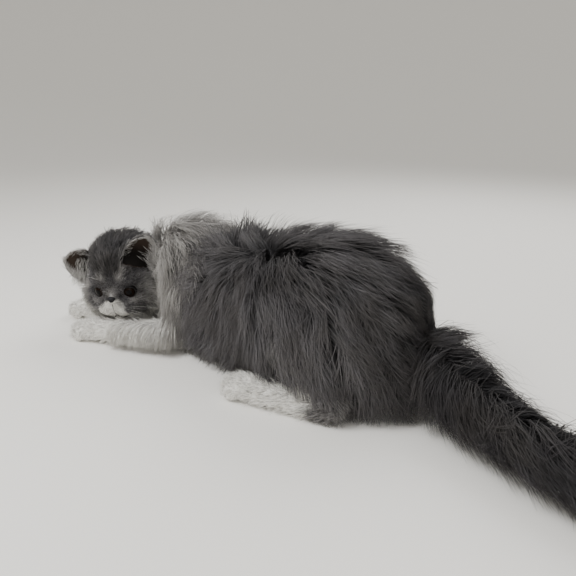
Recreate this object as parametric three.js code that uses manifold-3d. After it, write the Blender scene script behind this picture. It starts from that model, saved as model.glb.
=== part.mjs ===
// A long-haired Persian cat, life size, lying on its chest with its head turned to its left.
// Millimetres, +Z up. The cat heads along -X, its left side is -Y, and the floor is z = 0.
// The flesh is lofts and a shaped ball; the long coat is flat tapered locks set in tiers on a core.
import * as THREE from "three";
import { mergeVertices } from "three/addons/utils/BufferGeometryUtils.js";
import Module from "manifold-3d";

const wasm = await Module();
wasm.setup();

// Driving sizes.
const GAP = 0.3;
const FINEST = 0.1;
const CORE_SHARE = 0.42;
const HANG_FROM = 1.35;
// The tail's own room, as a share of its coat, which the trunk's locks keep clear of.
const TAIL_REACH = 1.1;
const HEAD_AT = [-240, 13, 61];
const HEAD_TURN = -68;
const HEAD_NOD = -8;
const HEAD_ROLL = 2;
const HEAD_HALF = { wide: 38, front: 38, back: 44, up: 49, down: 37 };
const EYE_RADIUS = 9.2;
const EYE_AT = { side: 15.2, up: 3, front: 26.2 };
const EYE_SPLAY = 15;
const EAR_SIZE = { tall: 33, wide: 42, thick: 2.4, sunk: 10 };
const EAR_LEFT = { root: [17, 26, 28], tip: [-0.14, 0.42, 0.9], open: [0.86, 0.46, 0.2] };
const EAR_RIGHT = { root: [6, -33, 18], tip: [-0.05, -0.95, 0.3], open: [0.95, -0.1, 0.1] };

// Spine stations: centre x, y, z, half width, half height of the flesh, and depth of the coat.
const TORSO_KEYS = [
  [-158, 32, 50, 14, 18, 22],
  [-148, 33, 51, 30, 36, 24],
  [-120, 34, 54, 38, 49, 23],
  [-80, 30, 56, 43, 53, 22],
  [-40, 20, 60, 47, 58, 21],
  [0, 9, 63, 56, 64, 22],
  [36, 3, 62, 58, 64, 23],
  [70, 1, 56, 52, 54, 24],
  [96, 0, 50, 38, 40, 24],
  [112, 0, 49, 22, 26, 22],
  [119, 0, 50, 9, 12, 18],
];
const NECK_KEYS = [
  [-126, 32, 64, 30, 32, 24],
  [-146, 33, 66, 36, 40, 26],
  [-170, 34, 65, 36, 40, 28],
  [-196, 36, 61, 31, 34, 25],
  [-218, 32, 60, 25, 28, 19],
  [-236, 26, 60, 14, 16, 12],
];
const TAIL_KEYS = [
  [104, 2, 58, 12, 12, 14],
  [116, -3, 53, 11, 11, 20],
  [134, -14, 44, 10, 10, 26],
  [156, -30, 37, 9, 9, 27],
  [184, -50, 33.5, 8, 8, 27],
  [212, -68, 32.5, 7.5, 7.5, 27],
  [240, -83, 31.5, 7, 7, 26],
  [266, -94, 30, 6, 6, 25],
  [290, -101, 27, 5, 5, 22],
  [312, -105, 23, 3, 3, 14],
  [322, -107, 21, 1, 1, 5],
];
const TAIL_SPLITS = [0.4, 0.7];
const THIGH_CUT = { at: [30, 80, 42], half: [60, 54, 64] };

// Coats of locks: tiers along the form, their spread round it, and the size of one lock.
// Their tips stay above rest: the hind feet show below the thighs, and nothing reaches the floor.
const overFoot = (p) => (p.x > -66 && p.x < 66 ? 24 : 2);
const LOCK = { sink: 5, wide: 31, thick: 4.4, long: 60, rest: overFoot };
const TAIL_LOCK = { sink: 4, wide: 30, thick: 4, long: 64, rest: () => 1 };

const V = (x, y, z) => new THREE.Vector3(x, y, z);
const { degToRad: degrees, radToDeg, clamp, smoothstep } = THREE.MathUtils;

// A closed mesh as a solid, and a solid back as a mesh's geometry.
function solidOf(geometry) {
  const plain = new THREE.BufferGeometry();
  const source = geometry.index ? geometry.toNonIndexed() : geometry;
  plain.setAttribute("position", source.getAttribute("position"));
  const merged = mergeVertices(plain, 1e-4);
  return new wasm.Manifold(
    new wasm.Mesh({
      numProp: 3,
      vertProperties: merged.attributes.position.array,
      triVerts: new Uint32Array(merged.index.array),
    }),
  );
}

function geometryOf(solid) {
  const mesh = largest(solid.asOriginal().simplify(FINEST)).getMesh();
  const geometry = new THREE.BufferGeometry();
  const points = new THREE.BufferAttribute(new Float32Array(mesh.vertProperties), 3);
  geometry.setAttribute("position", points);
  geometry.setIndex(new THREE.BufferAttribute(new Uint32Array(mesh.triVerts), 1));
  return geometry.toNonIndexed();
}

function largest(solid) {
  const bodies = solid.decompose();
  bodies.sort((a, b) => b.volume() - a.volume());
  return bodies[0];
}

function joined(solids) {
  return solids.reduce((a, b) => a.add(b));
}

// A grid of points, closed round its second index and capped at both ends, as a geometry.
function tubeOf(rings) {
  const sides = rings[0].length;
  const points = rings.flat();
  const faces = [];
  for (let i = 0; i + 1 < rings.length; i++) {
    for (let j = 0; j < sides; j++) {
      const a = i * sides + j;
      const b = i * sides + ((j + 1) % sides);
      faces.push([a, b, b + sides], [a, b + sides, a + sides]);
    }
  }
  const middle = (ring) =>
    ring.reduce((sum, p) => sum.add(p), V(0, 0, 0)).divideScalar(ring.length);
  const first = points.push(middle(rings[0])) - 1;
  const last = points.push(middle(rings.at(-1))) - 1;
  const top = (rings.length - 1) * sides;
  for (let j = 0; j < sides; j++) {
    const k = (j + 1) % sides;
    faces.push([first, k, j], [last, top + j, top + k]);
  }
  return facesOf(points, faces);
}

function facesOf(points, faces) {
  const geometry = new THREE.BufferGeometry();
  const corners = faces.flat().flatMap((i) => points[i].toArray());
  geometry.setAttribute("position", new THREE.Float32BufferAttribute(corners, 3));
  return geometry;
}

const onFloor = (p, floor = 0) => {
  if (p.z < floor) p.z = floor;
  return p;
};

// A loft through keys of centre, half width, half height and coat depth.
class Loft {
  constructor(keys, { square = 2, crest = 0 } = {}) {
    const curve = (pick) => new THREE.CatmullRomCurve3(keys.map(pick), false, "catmullrom", 0.5);
    this.centre = curve((k) => V(k[0], k[1], k[2]));
    this.size = curve((k) => V(k[3], k[4], k[5]));
    this.square = square;
    this.crest = crest;
  }

  // The curve's own parameter at u, which is a share of the loft's length.
  at(u) {
    return this.centre.getUtoTmapping(clamp(u, 0, 1));
  }

  frame(u) {
    const along = this.centre.getTangent(this.at(u));
    const side = along.clone().cross(V(0, 0, 1)).normalize();
    return { along, side, up: side.clone().cross(along).normalize() };
  }

  // The point at u along the loft and angle a about it, 0 at the top; share is how much coat it takes.
  point(u, a, share = CORE_SHARE, grow = 0) {
    const { along, side, up } = this.frame(u);
    const size = this.size.getPoint(this.at(u));
    const extra = size.z * share * this.depth(u, a) + grow;
    const round = (v) => Math.sign(v) * Math.abs(v) ** (2 / this.square);
    const wide = Math.max(size.x, 0.5) + extra;
    const high = Math.max(size.y, 0.5) + extra;
    return this.centre
      .getPoint(this.at(u))
      .addScaledVector(along, (u - clamp(u, 0, 1)) * this.centre.getLength())
      .addScaledVector(side, wide * round(Math.sin(a)))
      .addScaledVector(up, high * round(Math.cos(a)));
  }

  // The share of the coat's depth at an angle; a crest stands higher and fades to the rear.
  depth(u, a) {
    const top = Math.max(Math.cos(a), 0) ** 2;
    return 0.9 + 0.1 * Math.cos(a) + this.crest * top * smoothstep(0.78 - u, 0, 0.38);
  }

  normal(u, a, share) {
    const step = 0.01;
    const du = this.point(Math.min(u + step, 1), a, share).sub(
      this.point(Math.max(u - step, 0), a, share),
    );
    const da = this.point(u, a + step, share).sub(this.point(u, a - step, share));
    return du.cross(da).normalize().negate();
  }

  geometry(steps, sides, share = CORE_SHARE, grow = 0, from = 0, to = 1) {
    const rings = [];
    for (let i = 0; i <= steps; i++) {
      const u = from + ((to - from) * i) / steps;
      const ring = [];
      for (let j = 0; j < sides; j++) {
        ring.push(onFloor(this.point(u, (2 * Math.PI * j) / sides, share, grow)));
      }
      rings.push(ring);
    }
    return tubeOf(rings);
  }
}

// Random numbers from 0 to 1, the same on every run.
function seeded(seed) {
  let state = seed;
  return () => {
    state = (state * 1664525 + 1013904223) % 4294967296;
    return state / 4294967296;
  };
}

// A flat lock with a low ridge: left edge, ridge and right edge along its path, to a point.
function lockOf(path, outward, wide, thick) {
  const rings = [];
  const taper = [0.6, 1, 0.74];
  for (let i = 0; i < 3; i++) {
    const along = path[i + 1].clone().sub(path[Math.max(i - 1, 0)]).normalize();
    const side = along.clone().cross(outward[i]).normalize();
    const up = side.clone().cross(along);
    const half = (wide * taper[i]) / 2;
    const tall = thick * (i ? 1.15 - 0.3 * i : 1.6);
    const droop = -0.16 * half;
    const at = (x, z) => onFloor(path[i].clone().addScaledVector(side, x).addScaledVector(up, z), 0.6);
    rings.push([at(-half, droop), at(0, tall), at(half, droop)]);
  }
  const points = [...rings.flat(), path[3]];
  const tip = points.length - 1;
  const faces = [[0, 2, 1]];
  for (let i = 0; i < 2; i++) {
    for (let j = 0; j < 3; j++) {
      const a = 3 * i + j;
      const b = 3 * i + ((j + 1) % 3);
      faces.push([a, b, b + 3], [a, b + 3, a + 3]);
    }
  }
  for (let j = 0; j < 3; j++) faces.push([6 + j, 6 + ((j + 1) % 3), tip]);
  return facesOf(points, faces);
}

// A point of the coat at (u, a), of hair rooted at another angle: past the flank it hangs down.
function hanging(loft, u, a, root, share, grow = 0) {
  const over = 0.6 * Math.max(Math.abs(a) - Math.max(Math.abs(root), HANG_FROM), 0);
  const size = loft.size.getPoint(loft.at(u));
  const p = loft.point(u, a - Math.sign(a) * over, share, grow);
  p.z -= over * (Math.max(size.x, size.y) + 0.7 * size.z);
  return p;
}

// A lock that starts under the core at (u, a) and runs (du, da) over the loft to the coat's full depth.
function loftLock(loft, { u, a, du, da, bend, reach, wide, thick, sink }) {
  const path = [];
  const outward = [];
  for (const t of [0, 0.35, 0.7, 1]) {
    const v = u + du * t + bend.u * t * (1 - t);
    const b = a + da * t + bend.a * t * (1 - t);
    const share = CORE_SHARE + (reach - CORE_SHARE) * t ** 0.75;
    const p = hanging(loft, v, b, a, share, -sink * (1 - t) ** 2);
    path.push(onFloor(p, 1 + 7 * (1 - t)));
    outward.push(loft.normal(clamp(v, 0.02, 0.98), b, share));
  }
  return lockOf(path, outward, wide, thick);
}

// Rows of locks over a loft. Each tier has u, the angles it covers, and how its locks lie.
function locksOver(loft, tiers, seed, size = LOCK) {
  const random = seeded(seed);
  const about = (v, spread) => v * (1 + spread * (2 * random() - 1));
  const length = loft.centre.getLength();
  const locks = [];
  for (const tier of tiers) {
    const count = tier.count;
    for (let i = 0; i < count; i++) {
      const share = (i + 0.5 + 0.3 * (random() - 0.5)) / count;
      const a = tier.from + (tier.to - tier.from) * share;
      const u = tier.u + 0.012 * (2 * random() - 1);
      const section = loft.size.getPoint(loft.at(u));
      const round = Math.max(section.x, section.y) + 0.7 * section.z;
      const lie = tier.lie(a);
      const long = about(size.long * (tier.long ?? 1), 0.12);
      const du = (long * Math.cos(lie)) / length;
      const da = (long * Math.sin(lie)) / round;
      const end = hanging(loft, u + du, a + da, a, 1);
      const start = loft.point(u, a);
      const rest = size.rest(start);
      if (start.z < rest + 8 && end.z < start.z) continue;
      const cut = end.z < rest ? clamp((start.z - rest) / (start.z - end.z), 0.4, 1) : 1;
      locks.push({
        u,
        a,
        du: du * cut,
        da: da * cut,
        bend: { u: (0.16 * long * (random() - 0.5)) / length, a: 0.3 * (random() - 0.5) },
        reach: 0.92 + 0.16 * random(),
        wide: about(size.wide * (tier.wide ?? 1), 0.15),
        thick: about(size.thick, 0.1),
        sink: size.sink,
      });
    }
  }
  return locks.map((spec) => solidOf(loftLock(loft, spec)));
}

// The head's own axes: front, up and side (the cat's left), turned, nodded and rolled.
const headTurn = new THREE.Matrix4().makeRotationZ(degrees(HEAD_TURN));
headTurn.multiply(new THREE.Matrix4().makeRotationY(degrees(-HEAD_NOD)));
headTurn.multiply(new THREE.Matrix4().makeRotationX(degrees(HEAD_ROLL)));
const inHead = (front, side, up) =>
  V(front, side, up).applyMatrix4(headTurn).add(V(...HEAD_AT));

// Rounded swellings and hollows of the face: side angle, height angle, their spreads, and rise.
const FACE = [
  { side: 16, up: -22, wide: 15, tall: 13, rise: 8 },
  { side: 0, up: -46, wide: 16, tall: 11, rise: 7.5 },
  { side: 0, up: -1, wide: 8, tall: 9, rise: 5 },
  { side: 0, up: 16, wide: 9, tall: 9, rise: -2 },
  { side: 30, up: 5, wide: 12, tall: 11, rise: -4 },
  { side: 24, up: 28, wide: 16, tall: 12, rise: 3 },
  { side: 0, up: 50, wide: 34, tall: 22, rise: 4 },
  { side: 60, up: -22, wide: 26, tall: 22, rise: 6 },
];

// The face's surface: distance from the head's centre in a direction, with the coat and growth.
function headRadius(front, side, up, share = CORE_SHARE, grow = 0) {
  const h = HEAD_HALF;
  const a = front > 0 ? h.front : h.back;
  const c = up > 0 ? h.up : h.down;
  let r = 1 / Math.hypot(front / a, side / h.wide, up / c);
  const across = radToDeg(Math.atan2(side, front));
  const above = radToDeg(Math.asin(up));
  for (const f of FACE) {
    for (const s of f.side ? [f.side, -f.side] : [0]) {
      const x = (across - s) / f.wide;
      const y = (above - f.up) / f.tall;
      r += f.rise * Math.exp(-x * x - y * y);
    }
  }
  return r + headCoat(across, above) * share + grow;
}

// Depth of the head's coat: short on the face, long on the cheeks and behind.
function headCoat(across, above) {
  const back = smoothstep(Math.abs(across), 42, 95);
  const crown = smoothstep(above, 25, 60) * 8;
  const low = smoothstep(-above, 45, 75);
  return 1.5 + back * (above < 0 ? 12 : 12 - Math.min(above, 60) * 0.16) + crown + low * 3;
}

function headGeometry(share = CORE_SHARE, grow = 0, rings = 18, sides = 26) {
  const rows = [];
  for (let i = 0; i <= rings; i++) {
    const t = i / rings;
    const angle = Math.PI * Math.min(Math.max(0.012 + 0.976 * t ** 1.25, 0.012), 0.988);
    const row = [];
    for (let j = 0; j < sides; j++) {
      const b = (2 * Math.PI * j) / sides;
      row.push(headPoint(angle, b, share, grow));
    }
    rows.push(row);
  }
  return tubeOf(rows);
}

// A point at an angle back from the face's middle, b round from the top to the cat's left.
function headPoint(angle, b, share, grow = 0) {
  const front = Math.cos(angle);
  const side = Math.sin(angle) * Math.sin(b);
  const up = Math.sin(angle) * Math.cos(b);
  const r = headRadius(front, side, up, share, grow);
  return inHead(front * r, side * r, up * r);
}

// Locks of the crown, cheeks and throat, in tiers that run back from the face.
function headLocks(tiers, seed) {
  const random = seeded(seed);
  const locks = [];
  for (const tier of tiers) {
    for (let i = 0; i < tier.count; i++) {
      const part = (i + 0.5 + 0.25 * (random() - 0.5)) / tier.count;
      const b = degrees(tier.from + (tier.to - tier.from) * part);
      const root = degrees(tier.back + 5 * (random() - 0.5));
      const sweep = degrees(tier.long * (0.9 + 0.2 * random()));
      const turn = degrees(tier.turn) * Math.sign(b) + 0.2 * (random() - 0.5);
      const path = [];
      const outward = [];
      for (const t of [0, 0.35, 0.7, 1]) {
        const share = CORE_SHARE + (1 - CORE_SHARE) * t ** 0.8;
        const at = [root + sweep * t, b + turn * t * t];
        path.push(onFloor(headPoint(...at, share, -4 * (1 - t) ** 2), 1));
        outward.push(headPoint(...at, share, 5).sub(headPoint(...at, share)).normalize());
      }
      locks.push(solidOf(lockOf(path, outward, tier.wide * (0.9 + 0.2 * random()), 3.4)));
    }
  }
  return locks;
}

// A point on the face at side and height angles, lifted by some millimetres.
function onFace(across, above, lift = 0) {
  const a = degrees(across);
  const b = degrees(above);
  const d = [Math.cos(b) * Math.cos(a), Math.cos(b) * Math.sin(a), Math.sin(b)];
  const r = headRadius(...d) + lift;
  return inHead(d[0] * r, d[1] * r, d[2] * r);
}

// A bent rod of round section through points, open ends capped or closed on itself.
function rod(points, radius, sides = 6, steps = 12, closed = false) {
  const curve = new THREE.CatmullRomCurve3(points, closed);
  const section = new THREE.Shape();
  for (let i = 0; i < sides; i++) {
    const a = (2 * Math.PI * i) / sides;
    section[i ? "lineTo" : "moveTo"](radius * Math.cos(a), radius * Math.sin(a));
  }
  section.closePath();
  return solidOf(new THREE.ExtrudeGeometry(section, { steps, extrudePath: curve, curveSegments: 1 }));
}

const eyeCentre = (left) => inHead(EYE_AT.front, left ? EYE_AT.side : -EYE_AT.side, EYE_AT.up);

function ball(centre, radius, wide = 13, tall = 8) {
  const geometry = new THREE.SphereGeometry(radius, wide, tall);
  geometry.translate(...centre.toArray());
  return solidOf(geometry);
}

// The rim of the lids, round and drawn out towards the nose.
function lids(left) {
  const sign = left ? 1 : -1;
  const points = [];
  for (let i = 0; i < 12; i++) {
    const a = (2 * Math.PI * i) / 12;
    const inner = Math.max(0, -Math.cos(a)) ** 3 * 2.2;
    const out = Math.cos(a) * 7.3 - inner;
    const up = Math.sin(a) * 6.6 - inner * 0.5;
    const deep = Math.sqrt(Math.max(EYE_RADIUS ** 2 - out ** 2 - up ** 2, 8));
    const splay = degrees(EYE_SPLAY);
    const front = EYE_AT.front + deep * Math.cos(splay) - out * Math.sin(splay);
    const side = EYE_AT.side + out * Math.cos(splay) + deep * Math.sin(splay);
    points.push(inHead(front, sign * side, EYE_AT.up + up));
  }
  return rod(points, 1.7, 4, 14, true);
}

function mouthCut() {
  const side = (s) =>
    rod(
      [
        onFace(0, -20.5, 0.6),
        onFace(0, -31, 0.4),
        onFace(s * 5, -37, 0.2),
        onFace(s * 15, -40, 0),
        onFace(s * 27, -37, -0.3),
        onFace(s * 34, -31, 0),
      ],
      1.1,
      4,
      9,
    );
  return side(1).add(side(-1));
}

// The middle of the nose leather, sunk a little in the face.
function noseAt() {
  const low = degrees(2);
  const rise = headRadius(Math.cos(low), 0, -Math.sin(low)) - 1.2;
  return { front: rise * Math.cos(low), up: -rise * Math.sin(low) };
}

// The nose leather: a small heart-shaped pad with two nostrils.
function noseSolid(grow = 0) {
  const geometry = new THREE.SphereGeometry(1, 12, 8);
  const at = geometry.attributes.position;
  const { front, up } = noseAt();
  for (let i = 0; i < at.count; i++) {
    const [x, y, z] = [at.getX(i), at.getY(i), at.getZ(i)];
    const taper = 1 + 0.35 * z;
    const p = inHead(front + x * (3.4 + grow), y * (5.6 + grow) * taper, up + z * (4.2 + grow));
    at.setXYZ(i, p.x, p.y, p.z);
  }
  return solidOf(geometry);
}

function nostrils() {
  const { front, up } = noseAt();
  const one = (s) =>
    rod(
      [
        inHead(front + 2.4, s * 1.6, up - 1.8),
        inHead(front + 3, s * 2.8, up - 1.2),
        inHead(front + 2.8, s * 4.6, up - 0.2),
      ],
      0.9,
      5,
      4,
    );
  return one(1).add(one(-1));
}

// An ear: a curved cup of even thickness, open to the front, on the head's side.
function earSolid(left, grow = 0) {
  const spec = left ? EAR_LEFT : EAR_RIGHT;
  const root = V(...spec.root);
  const tip = V(...spec.tip).normalize();
  const open = V(...spec.open);
  open.addScaledVector(tip, -open.dot(tip)).normalize();
  const across = tip.clone().cross(open).normalize();
  const rows = 6;
  const columns = 6;
  const sheet = (offset) => {
    const grid = [];
    for (let i = 0; i <= rows; i++) {
      const v = i / rows;
      const wide = (EAR_SIZE.wide / 2) * Math.sqrt(Math.max(1 - v ** 2.2, 0.012)) * (0.92 + 0.25 * v);
      const wrap = degrees(128 - 70 * v) / 2;
      const radius = wide / Math.sin(wrap);
      const row = [];
      for (let j = 0; j <= columns; j++) {
        const w = ((2 * j) / columns - 1) * (1 + grow / wide);
        const edge = 1 - Math.abs(w) ** 6 * 0.4;
        const r = radius + offset * edge * (v > 0.98 ? 0.5 : 1);
        const p = root
          .clone()
          .addScaledVector(tip, (EAR_SIZE.tall + grow) * v - (EAR_SIZE.sunk + grow) * (1 - v))
          .addScaledVector(across, r * Math.sin(w * wrap))
          .addScaledVector(open, radius * Math.cos(wrap) - r * Math.cos(w * wrap));
        row.push(inHead(p.x, p.y, p.z));
      }
      grid.push(row);
    }
    return grid;
  };
  const back = sheet(EAR_SIZE.thick / 2 + grow);
  const front = sheet(-EAR_SIZE.thick / 2 - grow);
  const rings = back.map((row, i) => [...row, ...front[i].slice().reverse()]);
  const shape = solidOf(tubeOf(rings));
  return shape.volume() < 0 ? solidOf(tubeOf(rings.reverse())) : shape;
}

// A leg: a tapered limb through joints, with a broad paw of four toes at its end.
function limb(keys, steps, sides, grow) {
  const loft = new Loft(keys.map((k) => [...k, 0]));
  return solidOf(loft.geometry(steps, sides, 0, grow));
}

function paw(at, heading, wide, long, tall, grow) {
  const pieces = [];
  const turn = degrees(heading);
  const place = (x, y, z) =>
    V(at[0] + x * Math.cos(turn) - y * Math.sin(turn), at[1] + x * Math.sin(turn) + y * Math.cos(turn), z);
  const egg = (x, y, z, a, b, c, wideSteps, tallSteps) => {
    const geometry = new THREE.SphereGeometry(1, wideSteps, tallSteps);
    const p = geometry.attributes.position;
    for (let i = 0; i < p.count; i++) {
      const q = place(
        x + p.getX(i) * (a + grow),
        y + p.getY(i) * (b + grow),
        z + p.getZ(i) * (c + grow),
      );
      onFloor(q);
      p.setXYZ(i, q.x, q.y, q.z);
    }
    pieces.push(solidOf(geometry));
  };
  egg(0, 0, tall * 0.5, long * 0.5, wide * 0.46, tall * 0.52, 8, 6);
  for (const [k, reach] of [
    [-1.5, 0.3],
    [-0.5, 0.42],
    [0.5, 0.42],
    [1.5, 0.3],
  ]) {
    egg(long * reach, k * wide * 0.235, tall * 0.4, long * 0.22, wide * 0.165, tall * 0.42, 7, 4);
  }
  return joined(pieces);
}

function foreleg(left, grow = 0) {
  const keys = left
    ? [
        [-112, 22, 40, 15, 20],
        [-132, 14, 27, 17, 19],
        [-165, 0, 19, 14, 15],
        [-202, -13, 15, 13, 13.5],
        [-233, -21, 14, 13, 13],
        [-252, -24, 13, 12, 11],
        [-262, -25, 11, 8, 7],
      ]
    : [
        [-145, 66, 42, 14, 20],
        [-172, 63, 28, 16, 19],
        [-210, 54, 20, 14, 15],
        [-256, 41, 16, 13, 13.5],
        [-288, 32, 14, 13, 13],
        [-311, 26, 13, 12, 11],
        [-321, 24, 11, 8, 7],
      ];
  const arm = limb(keys, 12, 10, grow);
  const foot = left
    ? paw([-258, -24, 0], 186, 32, 42, 25, grow)
    : paw([-316, 26, 0], 192, 32, 42, 25, grow);
  return arm.add(foot);
}

function hindFoot(left, grow = 0) {
  const s = left ? -1 : 1;
  const y = 57;
  const shank = limb(
    [
      [-8, s * 44, 62, 14, 16],
      [0, s * 48, 54, 17, 18],
      [26, s * 53, 36, 15, 16],
      [50, s * 57, 19, 12, 14],
      [60, s * 58, 14, 9, 11],
    ],
    7,
    10,
    grow,
  );
  const sole = limb(
    [
      [62, s * 58, 13, 6, 7],
      [56, s * 58, 13, 11, 12],
      [30, s * (y + 1), 11, 12, 12],
      [0, s * y, 11, 13, 12],
      [-28, s * y, 11, 13.5, 11.5],
      [-38, s * y, 10, 11, 8],
    ],
    9,
    10,
    grow,
  );
  return joined([shank, sole, paw([-33, s * y, 0], 180, 31, 40, 24, grow)]);
}

// An egg shape given by its centre and half sizes, on the left or right.
function egg(spec, left, grow = 0, wide = 18, tall = 12) {
  const s = left ? -1 : 1;
  const geometry = new THREE.SphereGeometry(1, wide, tall);
  geometry.scale(spec.half[0] + grow, spec.half[1] + grow, spec.half[2] + grow);
  geometry.translate(spec.at[0], s * spec.at[1], spec.at[2]);
  const p = geometry.attributes.position;
  for (let i = 0; i < p.count; i++) p.setZ(i, Math.max(p.getZ(i), 0));
  return solidOf(geometry);
}

// The half space past a plane, as a large block whose near face lies on the plane.
function block(at, facing, tilt, shift) {
  const size = 600;
  const geometry = new THREE.BoxGeometry(size, size, size);
  geometry.translate(size / 2 + shift, 0, 0);
  geometry.rotateY(degrees(tilt));
  geometry.rotateZ(degrees(facing));
  geometry.translate(...at);
  return solidOf(geometry);
}

// Where the body is parted: neck from torso and torso from tail.
const CUTS = {
  head: { at: [-213, 42, 60], facing: 50, tilt: 33 },
  neck: { at: [-142, 30, 60], facing: -4, tilt: -12 },
  tail: { at: [112, 0, 55], facing: -30, tilt: 14 },
};
const past = (cut, shift = 0) => block(cut.at, cut.facing, cut.tilt, shift);

// The plane square across a loft at u, as a cut.
function across(loft, u) {
  const at = loft.centre.getPointAt(u);
  const along = loft.centre.getTangentAt(u);
  const facing = radToDeg(Math.atan2(along.y, along.x));
  const tilt = -radToDeg(Math.asin(along.z));
  return { at: at.toArray(), facing, tilt };
}

const torsoLoft = new Loft(TORSO_KEYS, { square: 2.5, crest: 0.3 });
const neckLoft = new Loft(NECK_KEYS, { square: 2.9 });
const tailLoft = new Loft(TAIL_KEYS);

const forelegs = [true, false].map((left) => foreleg(left));
const forelegRoom = joined([true, false].map((left) => foreleg(left, GAP)));
const feet = [true, false].map((left) => hindFoot(left));
const feetRoom = joined([true, false].map((left) => hindFoot(left, GAP)));

const torsoCore = solidOf(torsoLoft.geometry(16, 18));
const neckCore = solidOf(neckLoft.geometry(6, 16));
const tailCore = solidOf(tailLoft.geometry(16, 10));
const tailFull = solidOf(tailLoft.geometry(16, 12, TAIL_REACH));
const tailRoom = solidOf(tailLoft.geometry(16, 12, TAIL_REACH, GAP)).intersect(past(CUTS.tail, -GAP / 2));
const headCore = solidOf(headGeometry());
const headFull = solidOf(headGeometry(1));
const headRoom = solidOf(headGeometry(1, GAP));

// How the coat lies on each part: 0 along the spine to the tail, and quarter turns round to each side.
const quarter = Math.PI / 2;
const flankLie = (lean) => (a) =>
  Math.sign(a) * (quarter - lean * (1 - 0.35 * Math.abs(a)) - 1.1 * Math.max(0, 0.8 - Math.abs(a)));
const tiersOf = (from, to, count, rest) =>
  Array.from({ length: count }, (_, i) => ({
    u: from + ((to - from) * i) / Math.max(count - 1, 1),
    ...rest(i / Math.max(count - 1, 1)),
  }));
const torsoTiers = tiersOf(0.075, 0.95, 11, (t) => ({
  from: -2.1,
  to: 2.1,
  count: t > 0.95 ? 6 : 8,
  long: 1 - 1.5 * Math.max(0, t - 0.7),
  lie: flankLie(-0.45 + Math.min(t * 1.6, 1) - 0.6 * Math.max(0, t - 0.7)),
}));
const neckTiers = tiersOf(0.12, 0.92, 4, () => ({
  from: -2.5,
  to: 2.5,
  count: 8,
  lie: (a) => Math.sign(a) * (quarter + 0.25),
}));
const tailTiers = tiersOf(0.06, 0.93, 7, (t) => ({
  from: -2.5,
  to: 2.5,
  count: t > 0.8 ? 4 : 6,
  long: 1 - 0.15 * t,
  lie: (a) => Math.sign(a) * 0.55 * Math.max(1 - Math.abs(a) / 2.6, 0),
}));

const trunk = joined([torsoCore, ...locksOver(torsoLoft, torsoTiers, 13)]);
const thighCuts = [true, false].map((left) => egg(THIGH_CUT, left, 0, 16, 10));
const thighRooms = joined([true, false].map((left) => egg(THIGH_CUT, left, GAP, 16, 10)));

const crownTiers = [
  { back: 52, from: -48, to: 22, count: 3, long: 44, wide: 22, turn: 4 },
  { back: 84, from: -58, to: 58, count: 4, long: 44, wide: 26, turn: 4 },
  { back: 58, from: 62, to: 160, count: 4, long: 44, wide: 22, turn: 16 },
  { back: 58, from: -160, to: -62, count: 4, long: 44, wide: 22, turn: 16 },
  { back: 92, from: -130, to: -66, count: 2, long: 44, wide: 26, turn: 16 },
];
const earRooms = joined([true, false].map((left) => earSolid(left, GAP)));
const head = largest(
  joined([headCore, ...headLocks(crownTiers, 3), lids(true), lids(false)])
    .subtract(past(CUTS.head, -GAP / 2))
    .add(headFull.intersect(past(CUTS.head, -GAP / 2 - 2)))
    .subtract(mouthCut())
    .subtract(earRooms)
    .subtract(noseSolid(GAP))
    .subtract(ball(eyeCentre(true), EYE_RADIUS + GAP))
    .subtract(ball(eyeCentre(false), EYE_RADIUS + GAP))
    .subtract(forelegRoom),
);
const neck = largest(
  joined([neckCore, ...locksOver(neckLoft, neckTiers, 5)])
    .subtract(past(CUTS.neck, -GAP / 2))
    .intersect(past(CUTS.head))
    .subtract(headRoom)
    .subtract(forelegRoom),
);
const torso = largest(
  trunk
    .intersect(past(CUTS.neck, GAP / 2))
    .subtract(tailRoom)
    .subtract(thighRooms)
    .subtract(forelegRoom)
    .subtract(feetRoom),
);
const hindLegs = [true, false].map((left, i) =>
  largest(trunk.intersect(thighCuts[i]).subtract(tailRoom).add(feet[i])),
);
const tail = joined([tailCore, ...locksOver(tailLoft, tailTiers, 8, TAIL_LOCK)])
  .intersect(tailFull)
  .intersect(past(CUTS.tail, GAP / 2))
  .subtract(feetRoom);
const tailCuts = TAIL_SPLITS.map((u) => across(tailLoft, u));
const tails = [
  largest(tail.subtract(past(tailCuts[0], -GAP / 2))),
  largest(tail.intersect(past(tailCuts[0], GAP / 2)).subtract(past(tailCuts[1], -GAP / 2))),
  largest(tail.intersect(past(tailCuts[1], GAP / 2))),
];
const ears = [true, false].map((left) => earSolid(left));
const eyes = [true, false].map((left) => ball(eyeCentre(left), EYE_RADIUS));
const nose = largest(noseSolid().subtract(nostrils()));

const GREY = { color: 0x56565c, roughness: 0.9, metalness: 0 };
const PALE = { color: 0x8a8a8c, roughness: 0.9, metalness: 0 };
const WHITE = { color: 0xe8e6e2, roughness: 0.9, metalness: 0 };
const EYE = { color: 0x1c1512, roughness: 0.1, metalness: 0 };
const NOSE = { color: 0x2a2526, roughness: 0.5, metalness: 0 };

const cat = new THREE.Group();

function addPart(name, solid, finish) {
  const mesh = new THREE.Mesh(geometryOf(solid), new THREE.MeshStandardMaterial(finish));
  mesh.name = name;
  cat.add(mesh);
}

addPart("head", head, GREY);
addPart("nose", nose, NOSE);
addPart("neck", neck, PALE);
addPart("torso", torso, GREY);
["base", "middle", "tip"].forEach((length, i) => addPart(`tail_${length}`, tails[i], GREY));
["left", "right"].forEach((side, i) => {
  addPart(`ear_${side}`, ears[i], PALE);
  addPart(`eye_${side}`, eyes[i], EYE);
  addPart(`foreleg_${side}`, forelegs[i], WHITE);
  addPart(`hind_leg_${side}`, hindLegs[i], WHITE);
});

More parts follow.
